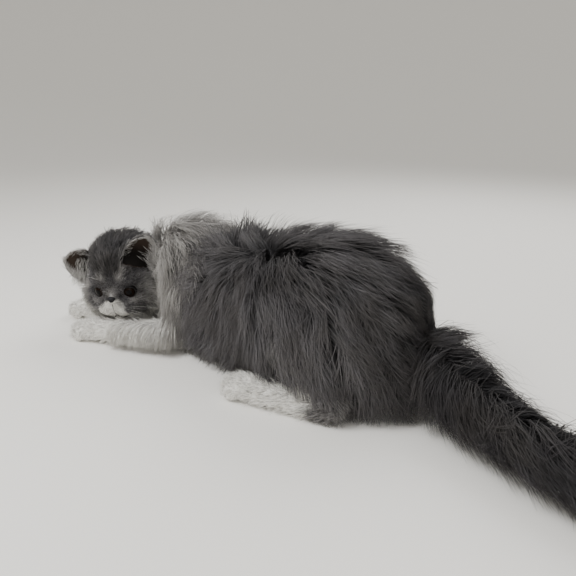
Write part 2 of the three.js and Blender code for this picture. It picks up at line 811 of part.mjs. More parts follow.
// The origin is under the middle of the cat's box, on the floor.
const box = new THREE.Box3().setFromObject(cat);
const middle = box.getCenter(V(0, 0, 0));
cat.position.set(-middle.x, -middle.y, -box.min.z);

export default cat;
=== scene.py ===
"""A young long-haired Persian cat, blue-grey and white, lying on its chest with its head turned.

The skin is one mesh over lofted flesh. The coat is tens of thousands of thin tapered tufts that
grow from it, gathered in clumps, each bent along the lie of the hair and hanging under its weight.
Sizes are millimetres in the cat's own axes: it heads along -X, its left side is -Y, the floor is z = 0.
"""

import logging
import math
from dataclasses import dataclass
from enum import Enum

import bmesh
import bpy
import numpy as np
from mathutils import Matrix, Vector
from mathutils.bvhtree import BVHTree
from mathutils.kdtree import KDTree

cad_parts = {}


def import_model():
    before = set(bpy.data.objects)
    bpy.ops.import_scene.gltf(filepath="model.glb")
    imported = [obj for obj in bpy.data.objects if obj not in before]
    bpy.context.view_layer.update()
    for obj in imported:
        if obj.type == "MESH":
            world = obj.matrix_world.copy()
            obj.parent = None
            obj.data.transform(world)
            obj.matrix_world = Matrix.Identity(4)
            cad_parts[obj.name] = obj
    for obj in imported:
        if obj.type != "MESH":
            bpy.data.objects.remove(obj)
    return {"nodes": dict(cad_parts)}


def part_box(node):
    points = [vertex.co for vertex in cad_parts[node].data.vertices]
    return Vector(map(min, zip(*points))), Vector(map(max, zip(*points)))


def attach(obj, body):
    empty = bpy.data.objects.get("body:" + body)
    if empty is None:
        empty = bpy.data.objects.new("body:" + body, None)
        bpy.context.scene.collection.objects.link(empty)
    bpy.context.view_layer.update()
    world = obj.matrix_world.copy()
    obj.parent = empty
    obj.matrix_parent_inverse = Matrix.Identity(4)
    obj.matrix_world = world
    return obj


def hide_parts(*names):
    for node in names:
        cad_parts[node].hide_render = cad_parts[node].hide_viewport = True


log = logging.getLogger("cat")

Array = np.ndarray
MM = 0.001
QUARTER = math.pi / 2

# The head's place, its turn in degrees and its half sizes, and the eyes' radius, place and splay.
HEAD_AT = (-240.0, 13.0, 61.0)
HEAD_TURN, HEAD_NOD, HEAD_ROLL = -68.0, -8.0, 2.0
HEAD_WIDE, HEAD_FRONT, HEAD_BACK, HEAD_UP, HEAD_DOWN = 38.0, 38.0, 44.0, 49.0, 37.0
EYE_RADIUS = 9.2
EYE_AT = (26.2, 15.2, 3.0)
EYE_SPLAY = 15.0

# Camera of the photograph: place, way it looks, and focal length for a 36 mm wide square frame.
CAMERA_AT = (221.8, -448.6, 257.0)
CAMERA_HEADING = (-0.479, 0.878)
CAMERA_PITCH = 18.02
CAMERA_LENS = 36.125
CAMERA_SENSOR = 36.0

# Heights above the floor, in millimetres, at which skin and hair are stopped.
SKIN_FLOOR, PAW_FLOOR, HAIR_FLOOR, SHORT_HAIR_FLOOR, FACE_HAIR_FLOOR = 0.4, 0.3, 0.8, 0.5, 1.5

# Shares of the coat's depth: where the skin of trunk, neck and tail lies, where the head's skin and
# roots lie, and where the bare parts of the face sit.
SKIN_DEEP, HEAD_SKIN_DEEP, HEAD_ROOT_DEEP, FACE_DEEP = 0.12, 0.05, 0.1, 0.42


def unit(v: Array) -> Array:
    """Vectors scaled to length 1 along their last axis."""
    return v / np.maximum(np.linalg.norm(v, axis=-1, keepdims=True), 1e-9)


def smooth(x: Array | float, low: float, high: float) -> Array:
    """A smooth step.

    Args:
        x: the values.
        low: where the step begins, at 0.
        high: where it ends, at 1.

    Returns:
        Numbers from 0 to 1.
    """
    t = np.clip((np.asarray(x, float) - low) / (high - low), 0, 1)
    return t * t * (3 - 2 * t)


def bump(x: Array | float, middle: float, wide: float) -> Array:
    """A bell of height 1 round a middle value."""
    return np.exp(-(((np.asarray(x, float) - middle) / wide) ** 2))


def ripple(p: Array, size: float) -> Array:
    """Smooth unevenness over points in space.

    Args:
        p: the points.
        size: about a sixth of the length of a wave.

    Returns:
        Numbers from -1 to 1.
    """
    x, y, z = (p[..., i] / size for i in range(3))
    first = np.sin(x + 1.9 * np.sin(0.7 * y))
    second = np.sin(1.1 * y + 1.7 * np.sin(0.8 * z) + 2)
    return (first + second + np.sin(0.9 * z + 2.1 * np.sin(0.6 * x) + 4)) / 3


def angles_round(count: int) -> Array:
    """Angles spread evenly over a full turn."""
    return np.linspace(0, 2 * math.pi, count, endpoint=False)


def turn_share(a: Array) -> Array:
    """Angles from -pi to pi as shares of a turn, from 0 to 1."""
    return (a + math.pi) / (2 * math.pi)


def grid(rows: Array, columns: Array) -> list[Array]:
    """Two tables over rows and columns, one of each row's value and one of each column's."""
    return np.meshgrid(rows, columns, indexing="ij")


def tree_of(points: Array) -> KDTree:
    """A search tree of points, each numbered by its place among them.

    Args:
        points: the points.

    Returns:
        The balanced tree.
    """
    tree = KDTree(len(points))
    for i, p in enumerate(points):
        tree.insert(Vector(p), i)
    tree.balance()
    return tree


def lock_of(points: Array, middles: int) -> Array:
    """For each point, which of the first points is nearest: the middle of the lock that it belongs to."""
    tree = tree_of(points[:middles])
    return np.array([tree.find(Vector(p))[1] for p in points])


class Spine:
    """A form lofted along a smooth curve, with a half width, half height and coat depth at each key."""

    STEPS = 40

    def __init__(self, keys: list[tuple[float, ...]], square: float = 2.0, crest: float = 0.0) -> None:
        """Samples a Catmull-Rom curve through the keys.

        Args:
            keys: x, y, z, half width, half height and coat depth at each station.
            square: 2 for an ellipse, more for a squarer section.
            crest: how much deeper the coat is along the top, fading towards the rear.
        """
        points = np.array(keys, float)
        points = np.vstack([2 * points[0] - points[1], points, 2 * points[-1] - points[-2]])
        t = np.linspace(0, 1, self.STEPS, endpoint=False)[:, None]
        rows = []
        for p0, p1, p2, p3 in zip(points, points[1:], points[2:], points[3:]):
            m0, m1 = (p2 - p0) / 2, (p3 - p1) / 2
            rows.append(
                (2 * t**3 - 3 * t**2 + 1) * p1
                + (t**3 - 2 * t**2 + t) * m0
                + (3 * t**2 - 2 * t**3) * p2
                + (t**3 - t**2) * m1
            )
        self.rows = np.vstack([*rows, points[-2:-1]])
        steps = np.linalg.norm(np.diff(self.rows[:, :3], axis=0), axis=1)
        self.lengths = np.concatenate([[0], np.cumsum(steps)])
        self.length = float(self.lengths[-1])
        self.tangents = unit(np.gradient(self.rows[:, :3], axis=0))
        self.square = square
        self.crest = crest

    def sample(self, table: Array, u: Array) -> Array:
        """Values of a table of the curve's samples at shares u of its length."""
        at = np.clip(u, 0, 1) * self.length
        return np.stack([np.interp(at, self.lengths, column) for column in table.T], -1)

    def frame(self, u: Array) -> tuple[Array, Array, Array]:
        """The curve's own axes.

        Args:
            u: shares of the length.

        Returns:
            The way along the curve, to the cat's left of it, and up from it.
        """
        along = unit(self.sample(self.tangents, u))
        side = unit(np.cross(along, np.array([0.0, 0.0, 1.0])))
        return along, side, np.cross(side, along)

    def sizes(self, u: Array) -> Array:
        """Half width, half height and coat depth at u."""
        return self.sample(self.rows[:, 3:], u)

    def point(self, u: Array, a: Array, share: Array | float = 0.0, grow: float = 0.0) -> Array:
        """The surface point at u along and angle a about the curve, 0 on top and positive to the left.

        Args:
            u: shares of the length, past 0 or 1 along the end's own line.
            a: angles in radians.
            share: how much of the coat's depth is taken.
            grow: millimetres more.

        Returns:
            Points, with the shape of u and one more axis.
        """
        u, a = np.asarray(u, float), np.asarray(a, float)
        along, side, up = self.frame(u)
        size = self.sizes(u)
        top = np.maximum(np.cos(a), 0) ** 2 * (1 - smooth(u, 0.4, 0.78))
        extra = size[..., 2] * share * (0.9 + 0.1 * np.cos(a) + self.crest * top) + grow
        power = 2 / self.square
        wide = np.maximum(size[..., 0], 0.5) + extra
        high = np.maximum(size[..., 1], 0.5) + extra
        sin, cos = np.sin(a), np.cos(a)
        centre = self.sample(self.rows[:, :3], u)
        past = (u - np.clip(u, 0, 1)) * self.length
        return (
            centre
            + along * past[..., None]
            + side * (wide * np.sign(sin) * np.abs(sin) ** power)[..., None]
            + up * (high * np.sign(cos) * np.abs(cos) ** power)[..., None]
        )

    def outward(self, u: Array, a: Array) -> Array:
        """The outward normal half way through the coat.

        Args:
            u: shares of the length.
            a: angles about the curve.

        Returns:
            Unit vectors.
        """
        step, deep = 0.01, 0.5
        du = self.point(np.minimum(u + step, 1), a, deep) - self.point(np.maximum(u - step, 0), a, deep)
        da = self.point(u, a + step, deep) - self.point(u, a - step, deep)
        return unit(np.cross(da, du))

    def rings(self, steps: int, sides: int, share: float, grow: float = 0.0) -> Array:
        """Rings of surface points from end to end, kept above the floor.

        Args:
            steps: how many rings.
            sides: points in each.
            share: how much of the coat's depth is taken.
            grow: millimetres more.

        Returns:
            An array of rings, points and coordinates.
        """
        points = self.point(*grid(np.linspace(0, 1, steps), angles_round(sides)), share, grow)
        points[..., 2] = np.maximum(points[..., 2], SKIN_FLOOR)
        return points


TORSO = Spine(
    [
        (-158, 32, 50, 14, 18, 22),
        (-148, 33, 51, 30, 36, 24),
        (-120, 34, 54, 38, 49, 23),
        (-80, 30, 56, 43, 53, 22),
        (-40, 20, 60, 47, 58, 21),
        (0, 9, 63, 56, 64, 22),
        (36, 3, 62, 58, 64, 23),
        (70, 1, 55, 49, 50, 24),
        (96, 0, 48, 33, 34, 24),
        (112, 0, 47, 20, 23, 22),
        (119, 0, 50, 9, 12, 18),
    ],
    square=2.5,
    crest=0.3,
)
NECK = Spine(
    [
        (-126, 32, 64, 30, 32, 24),
        (-146, 34, 66, 33, 39, 27),
        (-170, 38, 65, 27, 36, 34),
        (-196, 43, 61, 19, 28, 33),
        (-218, 38, 60, 14, 21, 26),
        (-236, 30, 60, 10, 12, 16),
    ],
    square=2.9,
)
TAIL = Spine(
    [
        (104, 2, 56, 12, 12, 20),
        (116, -3, 51, 11, 11, 26),
        (134, -14, 43, 10, 10, 29),
        (156, -30, 37, 9, 9, 28),
        (184, -50, 33.5, 8, 8, 25),
        (212, -68, 31.5, 7.5, 7.5, 24),
        (240, -83, 30.5, 7, 7, 23),
        (266, -94, 29, 6, 6, 22),
        (290, -101, 27, 5, 5, 19),
        (312, -105, 23, 3, 3, 14),
        (322, -107, 21, 1, 1, 5),
    ]
)


class Side(Enum):
    """Which side of the cat."""

    LEFT = -1
    RIGHT = 1


@dataclass(frozen=True)
class Swelling:
    """A rounded rise or hollow of the face, at angles across and above its middle, in degrees."""

    across: float
    above: float
    wide: float
    tall: float
    rise: float


@dataclass
class Head:
    """The head: a shaped ball with the muzzle, cheeks, brows and dome, in its own turned axes."""

    swellings: tuple[Swelling, ...] = (
        Swelling(16, -22, 15, 13, 8),
        Swelling(0, -46, 16, 11, 7.5),
        Swelling(0, -1, 8, 9, 5),
        Swelling(0, 16, 9, 9, -2),
        Swelling(30, 5, 12, 11, -4),
        Swelling(24, 28, 16, 12, 3),
        Swelling(0, 50, 34, 22, 4),
        Swelling(60, -22, 26, 22, 6),
    )

    def __post_init__(self) -> None:
        """Works out the turn of the head."""
        turn = Matrix.Rotation(math.radians(HEAD_TURN), 3, "Z")
        turn @= Matrix.Rotation(math.radians(-HEAD_NOD), 3, "Y")
        turn @= Matrix.Rotation(math.radians(HEAD_ROLL), 3, "X")
        self.turn = np.array(turn)

    def place(self, p: Array) -> Array:
        """Points of front, left and up in the head's axes, put in the cat's."""
        return np.asarray(p, float) @ self.turn.T + np.array(HEAD_AT)

    def local(self, p: Array) -> Array:
        """The cat's points in the head's own axes."""
        return (np.asarray(p, float) - np.array(HEAD_AT)) @ self.turn

    def coat(self, across: Array, above: Array) -> Array:
        """Depth of the coat: short on the face, long on the cheeks and behind.

        Args:
            across: angles across the face's middle, in degrees.
            above: angles above it.

        Returns:
            Depths in millimetres.
        """
        back = smooth(np.abs(across), 42, 95)
        crown = smooth(above, 25, 60) * 8
        low = smooth(-above, 45, 75) * 3
        reach = np.where(above < 0, 12, 12 - np.minimum(above, 60) * 0.16)
        return 1.5 + back * reach + crown + low

    def radius(self, d: Array, share: Array | float) -> Array:
        """Distance of the surface from the head's centre.

        Args:
            d: unit directions in the head's axes.
            share: how much of the coat's depth is taken.

        Returns:
            Distances in millimetres.
        """
        front, side, up = d[..., 0], d[..., 1], d[..., 2]
        deep = np.where(front > 0, HEAD_FRONT, HEAD_BACK)
        tall = np.where(up > 0, HEAD_UP, HEAD_DOWN)
        r = 1 / np.sqrt((front / deep) ** 2 + (side / HEAD_WIDE) ** 2 + (up / tall) ** 2)
        across = np.degrees(np.arctan2(side, front))
        above = np.degrees(np.arcsin(np.clip(up, -1, 1)))
        for s in self.swellings:
            for middle in {s.across, -s.across}:
                beside, over = (across - middle) / s.wide, (above - s.above) / s.tall
                r = r + s.rise * np.exp(-(beside**2) - over**2)
        return r + self.coat(across, above) * share

    def point(self, angle: Array, b: Array, share: Array | float = 0.0) -> Array:
        """The surface point at an angle back from the face's middle and b round it from the top."""
        d = np.stack([np.cos(angle), np.sin(angle) * np.sin(b), np.sin(angle) * np.cos(b)], -1)
        return self.place(d * self.radius(d, share)[..., None])

    def on_face(self, across: float, above: float, lift: float = 0.0) -> Array:
        """A point of the face.

        Args:
            across: the angle across the face's middle, in degrees.
            above: the angle above it.
            lift: millimetres off the face.

        Returns:
            The point.
        """
        a, b = math.radians(across), math.radians(above)
        d = np.array([math.cos(b) * math.cos(a), math.cos(b) * math.sin(a), math.sin(b)])
        return self.place(d * (self.radius(d, FACE_DEEP) + lift))

    def outward(self, angle: Array, b: Array) -> Array:
        """The outward normal.

        Args:
            angle: angles back from the face's middle.
            b: angles round it.

        Returns:
            Unit vectors.
        """
        step = 0.02
        da = self.point(angle + step, b) - self.point(np.maximum(angle - step, 0.01), b)
        db = self.point(angle, b + step) - self.point(angle, b - step)
        return unit(np.cross(db, da))

    def rings(self, steps: int, sides: int, share: float) -> Array:
        """Rings of the head's surface from the nose to the nape."""
        end = 0.02
        return self.point(*grid(np.linspace(end, math.pi - end, steps), angles_round(sides)), share)

    def eye(self, side: Side) -> Array:
        """The centre of an eye."""
        front, out, up = EYE_AT
        return self.place([front, -side.value * out, up])

    def gaze(self, side: Side) -> Array:
        """The way an eye looks."""
        splay = math.radians(EYE_SPLAY)
        return np.array([math.cos(splay), -side.value * math.sin(splay), -0.02]) @ self.turn.T

    def nose(self) -> tuple[float, float]:
        """The middle of the nose leather.

        Returns:
            Front and up in the head's axes.
        """
        low, sunk = math.radians(2), 1.2
        rise = float(self.radius(np.array([math.cos(low), 0, -math.sin(low)]), FACE_DEEP)) - sunk
        return rise * math.cos(low), -rise * math.sin(low)


HEAD = Head()

FORELEGS = {
    Side.LEFT: Spine(
        [
            (-112, 22, 40, 15, 20, 0),
            (-132, 14, 27, 17, 19, 0),
            (-165, 0, 19, 14, 15, 0),
            (-202, -13, 15, 13, 13.5, 0),
            (-233, -21, 14, 13, 13, 0),
            (-252, -24, 13, 12, 11, 0),
            (-262, -25, 11, 8, 7, 0),
        ]
    ),
    Side.RIGHT: Spine(
        [
            (-145, 66, 42, 14, 20, 0),
            (-172, 63, 28, 16, 19, 0),
            (-210, 54, 20, 14, 15, 0),
            (-256, 41, 16, 13, 13.5, 0),
            (-288, 32, 14, 13, 13, 0),
            (-311, 26, 13, 12, 11, 0),
            (-321, 24, 11, 8, 7, 0),
        ]
    ),
}


def both_sides(keys: tuple[tuple[float, ...], ...]) -> dict[Side, Spine]:
    """A hairless form on each side of the cat, from keys given for its right side."""
    return {s: Spine([(x, s.value * y, z, w, h, 0) for x, y, z, w, h in keys]) for s in Side}


SHANKS = both_sides(
    (
        (-8, 44, 62, 14, 16),
        (0, 48, 54, 17, 18),
        (26, 53, 36, 15, 16),
        (50, 57, 19, 12, 14),
        (60, 58, 14, 9, 11),
    )
)
SOLES = both_sides(
    (
        (62, 58, 13, 6, 7),
        (56, 58, 13, 11, 12),
        (30, 58, 11, 12, 12),
        (0, 57, 11, 13, 12),
        (-28, 57, 11, 13.5, 11.5),
        (-38, 57, 10, 11, 8),
    )
)


@dataclass(frozen=True)
class Egg:
    """An egg-shaped lump of a paw: centre, half sizes and heading."""

    centre: tuple[float, float, float]
    half: tuple[float, float, float]
    heading: float

    def point(self, a: Array, b: Array, grow: float = 0.0) -> Array:
        """The surface point, kept above the floor.

        Args:
            a: angles round the lump.
            b: angles up.
            grow: millimetres added all round.

        Returns:
            Points.
        """
        turn = math.radians(self.heading)
        half = np.array(self.half) + grow
        x = half[0] * np.cos(b) * np.cos(a)
        y = half[1] * np.cos(b) * np.sin(a)
        z = half[2] * np.sin(b)
        return np.stack(
            [
                self.centre[0] + x * math.cos(turn) - y * math.sin(turn),
                self.centre[1] + x * math.sin(turn) + y * math.cos(turn),
                np.maximum(self.centre[2] + z, PAW_FLOOR),
            ],
            -1,
        )


def paw_eggs(at: tuple[float, float], heading: float, wide: float, long: float, tall: float) -> list[Egg]:
    """The palm and four toes of a paw.

    Args:
        at: the palm's middle on the floor.
        heading: the way the toes point, in degrees.
        wide: across the toes.
        long: from the heel of the palm to the toes.
        tall: height of the palm.

    Returns:
        The palm first, then the toes.
    """
    turn = math.radians(heading)
    lumps = [Egg((*at, tall * 0.5), (long * 0.5, wide * 0.46, tall * 0.52), heading)]
    for k, reach in ((-1.5, 0.3), (-0.5, 0.42), (0.5, 0.42), (1.5, 0.3)):
        x, y = long * reach, k * wide * 0.235
        centre = (
            at[0] + x * math.cos(turn) - y * math.sin(turn),
            at[1] + x * math.sin(turn) + y * math.cos(turn),
            tall * 0.4,
        )
        lumps.append(Egg(centre, (long * 0.22, wide * 0.165, tall * 0.42), heading))
    return lumps


PAWS = {
    "fore_left": paw_eggs((-258, -24), 186, 32, 42, 25),
    "fore_right": paw_eggs((-316, 26), 192, 32, 42, 25),
    "hind_left": paw_eggs((-33, -57), 180, 31, 40, 24),
    "hind_right": paw_eggs((-33, 57), 180, 31, 40, 24),
}


@dataclass
class Ear:
    """An ear: a curved cup of even thickness, open to the front.

    Its root, the way to its tip, the way it opens and the way its wisps sweep are in the head's axes.
    The forward rim is on the side of fore, 1 or -1 across the cup.
    """

    root: tuple[float, float, float]
    tip: tuple[float, float, float]
    open: tuple[float, float, float]
    fore: int
    sweep: tuple[float, float, float]
    wisps: int
    tall: float = 33.0
    wide: float = 42.0
    thick: float = 3.6
    sunk: float = 10.0
    wrap_root: float = 128.0
    wrap_less: float = 70.0

    def __post_init__(self) -> None:
        """Works out the ear's own axes."""
        self.up = unit(np.array(self.tip))
        facing = np.array(self.open)
        self.facing = unit(facing - self.up * facing.dot(self.up))
        self.across = unit(np.cross(self.up, self.facing))

    def cup(self, v: Array) -> tuple[Array, Array, Array]:
        """The ear's rolled-up form.

        Args:
            v: shares of the way up from the root.

        Returns:
            Half the width, half the angle of wrap and the radius.
        """
        wide = (self.wide / 2) * np.sqrt(np.maximum(1 - v**2.2, 0.012)) * (0.92 + 0.25 * v)
        wrap = np.radians(self.wrap_root - self.wrap_less * v) / 2
        return wide, wrap, wide / np.sin(wrap)

    def point(self, v: Array, w: Array, offset: Array | float) -> Array:
        """A point of the ear.

        Args:
            v: shares of the way up from the root.
            w: places across, from -1 to 1.
            offset: millimetres towards the ear's back.

        Returns:
            The cat's points.
        """
        v, w = np.asarray(v, float), np.asarray(w, float)
        _, wrap, radius = self.cup(v)
        edge = 1 - np.abs(w) ** 6 * 0.4
        r = radius + offset * edge
        p = (
            np.array(self.root)
            + self.up * (self.tall * v - self.sunk * (1 - v))[..., None]
            + self.across * (r * np.sin(w * wrap))[..., None]
            + self.facing * (radius * np.cos(wrap) - r * np.cos(w * wrap))[..., None]
        )
        return HEAD.place(p)

    def within(self, p: Array) -> Array:
        """Which of the cat's points lie in the ear's open cup, or close before it.

        Args:
            p: the points.

        Returns:
            A mask.
        """
        away = HEAD.local(p) - np.array(self.root)
        v = np.clip((away @ self.up + self.sunk) / (self.tall + self.sunk), 0.0, 1.0)
        across, front = away @ self.across, away @ self.facing
        wide, wrap, radius = self.cup(v)
        wall = radius * np.cos(wrap) - np.sqrt(np.maximum(radius**2 - across**2, 0))
        return (v > 0.2) & (v < 0.97) & (np.abs(across) < 0.93 * wide) & (front > wall) & (front < 12)

    def rings(self, rows: int = 22, columns: int = 24) -> Array:
        """Closed rings round the ear's wall, from the root to the tip.

        Args:
            rows: how many rings.
            columns: points on each face of the wall.

        Returns:
            An array of rings, points and coordinates.
        """
        v, w = grid(np.linspace(0, 1, rows), np.linspace(-1, 1, columns))
        back = self.point(v, w, self.thick / 2)
        front = self.point(v, w, -self.thick / 2)
        return np.concatenate([back, front[:, ::-1]], 1)


EARS = {
    Side.LEFT: Ear((17, 26, 28), (-0.14, 0.42, 0.9), (0.86, 0.46, 0.2), 1, (0.65, 0.3, -0.7), 90),
    Side.RIGHT: Ear((6, -33, 18), (-0.05, -0.95, 0.3), (0.95, -0.1, 0.1), -1, (0.1, -0.3, -1.0), 450),
}


def tube(rings: Array) -> tuple[Array, list[list[int]]]:
    """A closed tube through rings of points, capped at both ends.

    Args:
        rings: an array of rings, points and coordinates.

    Returns:
        Points and faces.
    """
    count, sides, _ = rings.shape
    points = np.vstack([rings.reshape(-1, 3), rings[0].mean(0), rings[-1].mean(0)])
    first, last = count * sides, count * sides + 1
    faces = []
    for j in range(sides):
        k = (j + 1) % sides
        faces.append([first, k, j])
        faces.append([last, (count - 1) * sides + j, (count - 1) * sides + k])
        for i in range(count - 1):
            faces.append([i * sides + j, i * sides + k, (i + 1) * sides + k, (i + 1) * sides + j])
    return points, faces


class Placing:
    """Turns the cat's millimetres into the frame's metres."""

    def __init__(self) -> None:
        """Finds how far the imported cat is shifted, from where its left eye is."""
        low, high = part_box("eye_left")
        middle = (np.array(low) + np.array(high)) / 2
        self.shift = middle - HEAD.eye(Side.LEFT) * MM
        self.shift[2] = 0.0

    def metres(self, p: Array) -> Array:
        """The cat's points in metres, in the frame."""
        return np.asarray(p, float) * MM + self.shift

    def millimetres(self, p: Array) -> Array:
        """Points of the frame back in the cat's millimetres."""
        return (np.asarray(p, float) - self.shift) / MM


def linear(colour: str) -> tuple[float, float, float, float]:
    """An sRGB hex colour as linear red, green, blue and alpha."""
    parts = [int(colour[i : i + 2], 16) / 255 for i in (1, 3, 5)]
    return (*(c / 12.92 if c <= 0.04045 else ((c + 0.055) / 1.055) ** 2.4 for c in parts), 1.0)


def linked(name: str, data: bpy.types.ID) -> bpy.types.Object:
    """A new object of a mesh, lamp or camera, linked to the scene.

    Args:
        name: its name.
        data: what it shows.

    Returns:
        The object.
    """
    thing = bpy.data.objects.new(name, data)
    bpy.context.scene.collection.objects.link(thing)
    return thing


def mesh_object(name: str, points: Array, faces: list, placing: Placing) -> bpy.types.Object:
    """A new smooth mesh object from the cat's points.

    Args:
        name: the piece's name.
        points: points in millimetres.
        faces: lists of point indices.
        placing: turns the points into the frame's metres.

    Returns:
        The object, linked to the scene.
    """
    mesh = bpy.data.meshes.new(name)
    mesh.from_pydata(placing.metres(points).tolist(), [], faces)
    mesh.validate()
    mesh.shade_smooth()
    return linked(name, mesh)


def turn_out(thing: bpy.types.Object) -> None:
    """Turns each closed form of a mesh so that its faces point out.

    Args:
        thing: the mesh object.
    """
    work = bmesh.new()
    work.from_mesh(thing.data)
    bmesh.ops.recalc_face_normals(work, faces=work.faces)
    work.to_mesh(thing.data)
    work.free()


def lofted(name: str, rings: Array, placing: Placing) -> bpy.types.Object:
    """A closed piece through rings of the cat's points, with its faces pointing out.

    Args:
        name: the piece's name.
        rings: an array of rings, points and coordinates.
        placing: turns the points into the frame's metres.

    Returns:
        The object, linked to the scene.
    """
    points, faces = tube(rings)
    piece = mesh_object(name, points, faces, placing)
    turn_out(piece)
    return piece


def store(mesh: bpy.types.Mesh, label: str, values: Array) -> None:
    """Stores a number or a vector at each point of a mesh.

    Args:
        mesh: the mesh.
        label: the attribute's name.
        values: a row of numbers, or vectors along the last axis.
    """
    kind, key = ("FLOAT", "value") if values.ndim == 1 else ("FLOAT_VECTOR", "vector")
    layer = mesh.attributes.new(label, kind, "POINT")
    layer.data.foreach_set(key, values.astype(np.float32).ravel())


def applied(thing: bpy.types.Object, name: str) -> bpy.types.Object:
    """The object with its modifiers applied, as a new plain object in its place.

    Args:
        thing: the object, which is removed.
        name: the new one's name.

    Returns:
        The new object, linked to the scene.
    """
    depsgraph = bpy.context.evaluated_depsgraph_get()
    mesh = bpy.data.meshes.new_from_object(thing.evaluated_get(depsgraph))
    mesh.name = name
    bpy.data.objects.remove(thing)
    return linked(name, mesh)


@dataclass
class Tufts:
    """Tufts of hair: their paths, the way outward along them, widths, markings and places on the atlas."""

    path: Array
    outward: Array
    width: Array
    marks: Array
    random: Array
    bake: Array

    def kept(self, keep: Array) -> "Tufts":
        """The tufts that a mask keeps."""
        return Tufts(*(part[keep] for part in self.parts()))

    def parts(self) -> tuple[Array, ...]:
        """All arrays in order."""
        return self.path, self.outward, self.width, self.marks, self.random, self.bake

    @classmethod
    def of(cls, sets: "list[Tufts]") -> "Tufts":
        """Several sets of tufts with alike paths, as one."""
        return cls(*(np.concatenate(parts) for parts in zip(*(s.parts() for s in sets))))


@dataclass(frozen=True)
class Patch:
    """A region's rectangle on the coat's atlas, an unwrap of each form along and round it."""

    left: float
    low: float
    wide: float
    tall: float

    def at(self, u: Array, v: Array) -> Array:
        """Atlas places for shares u and v of the rectangle."""
        x, y = self.wide * np.clip(u, 0, 1), self.tall * np.clip(v, 0, 1)
        return np.stack([self.left + x, self.low + y], -1)


class Markings:
    """The cat's colours by place: how white, how pale and how dark the coat is, from 0 to 1."""

    @staticmethod
    def body(p: Array) -> Array:
        """Markings of the trunk and neck at points in millimetres, with painted shade low under the front
        of the trunk.

        Args:
            p: the cat's points.

        Returns:
            How white, pale and dark the coat is at each.
        """
        x, y, z = p[..., 0], p[..., 1], p[..., 2]
        uneven = ripple(p, 6.0)
        front = smooth(-x + 12 * uneven, 114, 158)
        white = front * (1 - smooth(z + 6 * uneven, 12, 44))
        ruff = smooth(-x + 6 * uneven, 128, 162) * smooth(-y, -48, -12) * (1 - 0.3 * smooth(z, 84, 112))
        nape = smooth(-x, 118, 150) * smooth(z, 68, 90) * 0.85
        pale = np.clip(ruff + nape, 0, 1)
        spine = bump(z, 118, 24) * smooth(x, -140, -60) * 0.5
        # Painted shade: the coat is darker low on the front half of the trunk, near the floor, where shade
        # falls under it.
        low = (1 - smooth(z, 10, 60)) * smooth(x, -140, -112) * (1 - smooth(x, -70, -30))
        rear = smooth(x, 40, 105) * 0.75
        dark = np.clip(spine + low + rear + 0.16 * ripple(p, 9.0), 0, 1)
        return np.stack([white, pale, dark * (1 - white)], -1)

    @staticmethod
    def tail(p: Array) -> Array:
        """Markings of the tail: dark grey, and darkest past its base.

        Args:
            p: the cat's points.

        Returns:
            How white, pale and dark the coat is at each.
        """
        x = p[..., 0]
        dark = 0.92 + 0.1 * smooth(x, 130, 190) + 0.15 * ripple(p, 8.0)
        return np.stack([0 * x, 0 * x, np.clip(dark, 0, 1)], -1)

    @staticmethod
    def face(p: Array) -> Array:
        """Markings of the head: a white blaze from the nose to the chin, a dark dome, paler cheeks.

        Args:
            p: the cat's points.

        Returns:
            How white, pale and dark the coat is at each.
        """
        d = unit(HEAD.local(p))
        across = np.degrees(np.arctan2(d[..., 1], d[..., 0]))
        above = np.degrees(np.arcsin(np.clip(d[..., 2], -1, 1)))
        uneven = ripple(p, 1.6)
        wide = 2.5 + 0.85 * np.maximum(-above - 3, 0) + 4 * uneven
        wide = wide * np.where(across < 0, 1.35, 1.0)
        blaze = (1 - smooth(np.abs(across), wide - 5, wide + 8)) * (1 - smooth(above, -6, 2))
        pad = bump(across, 29, 10) * bump(above, -25, 11) + 0.4 * bump(across, -30, 7) * bump(above, -20, 8)
        white = np.clip(blaze * (0.9 - 0.8 * pad) + 0.1 * uneven * blaze, 0, 1)
        white = np.maximum(white, (0.6 + 0.15 * uneven) * smooth(-above + 4 * uneven, 30, 50))
        brow = sum(bump(across, s * 14, 6) * bump(above, 29, 5) for s in (1, -1))
        rim = sum(bump(across, s * 33, 11) * bump(above, -9, 5) for s in (1, -1))
        cheek = smooth(np.abs(across) + 4 * uneven, 38, 66) * (1 - smooth(above, 4, 40))
        band = bump(across, 20, 4) * bump(above, 42, 10)
        jowl = smooth(np.abs(across) + 5 * uneven, 40, 70) * smooth(-above, 0, 22)
        jowl = jowl * (1 - smooth(np.abs(across), 92, 120))
        white = np.maximum(white, (0.72 + 0.1 * uneven) * jowl)
        bridge = bump(across, 0, 8) * bump(above, 6, 8)
        pale = 0.55 * brow + 0.5 * rim + 0.95 * cheek + 0.8 * band + 0.6 * bridge + 0.12 * uneven
        pale = np.clip(pale, 0, 1)
        dome = smooth(above, 20, 40) * (1 - smooth(np.abs(across), 70, 120))
        patches = dome * (0.9 + 0.4 * ripple(p, 3.2))
        sockets = sum(bump(across, s * 30, 12) * bump(above, 12, 9) for s in (1, -1)) * 0.5
        outer = sum(bump(across, s * 46, 8) * bump(above, -4, 11) for s in (1, -1)) * 0.5
        corner = sum(bump(across, s * 12, 4) * bump(above, 2, 4) for s in (1, -1))
        dark = np.clip((patches + sockets + outer) * (1 - 0.7 * cheek) * (1 - band) + corner, 0, 1)
        return np.stack([white, pale * (1 - white) * (1 - corner), dark * (1 - white)], -1)


@dataclass
class Growth:
    """How each tuft of a long coat grows over its form, from its root and its lock's middle."""

    u: Array
    a: Array
    lock_u: Array
    lock_a: Array
    lie: Array
    long: Array
    reach: Array
    curl: Array
    tight: Array


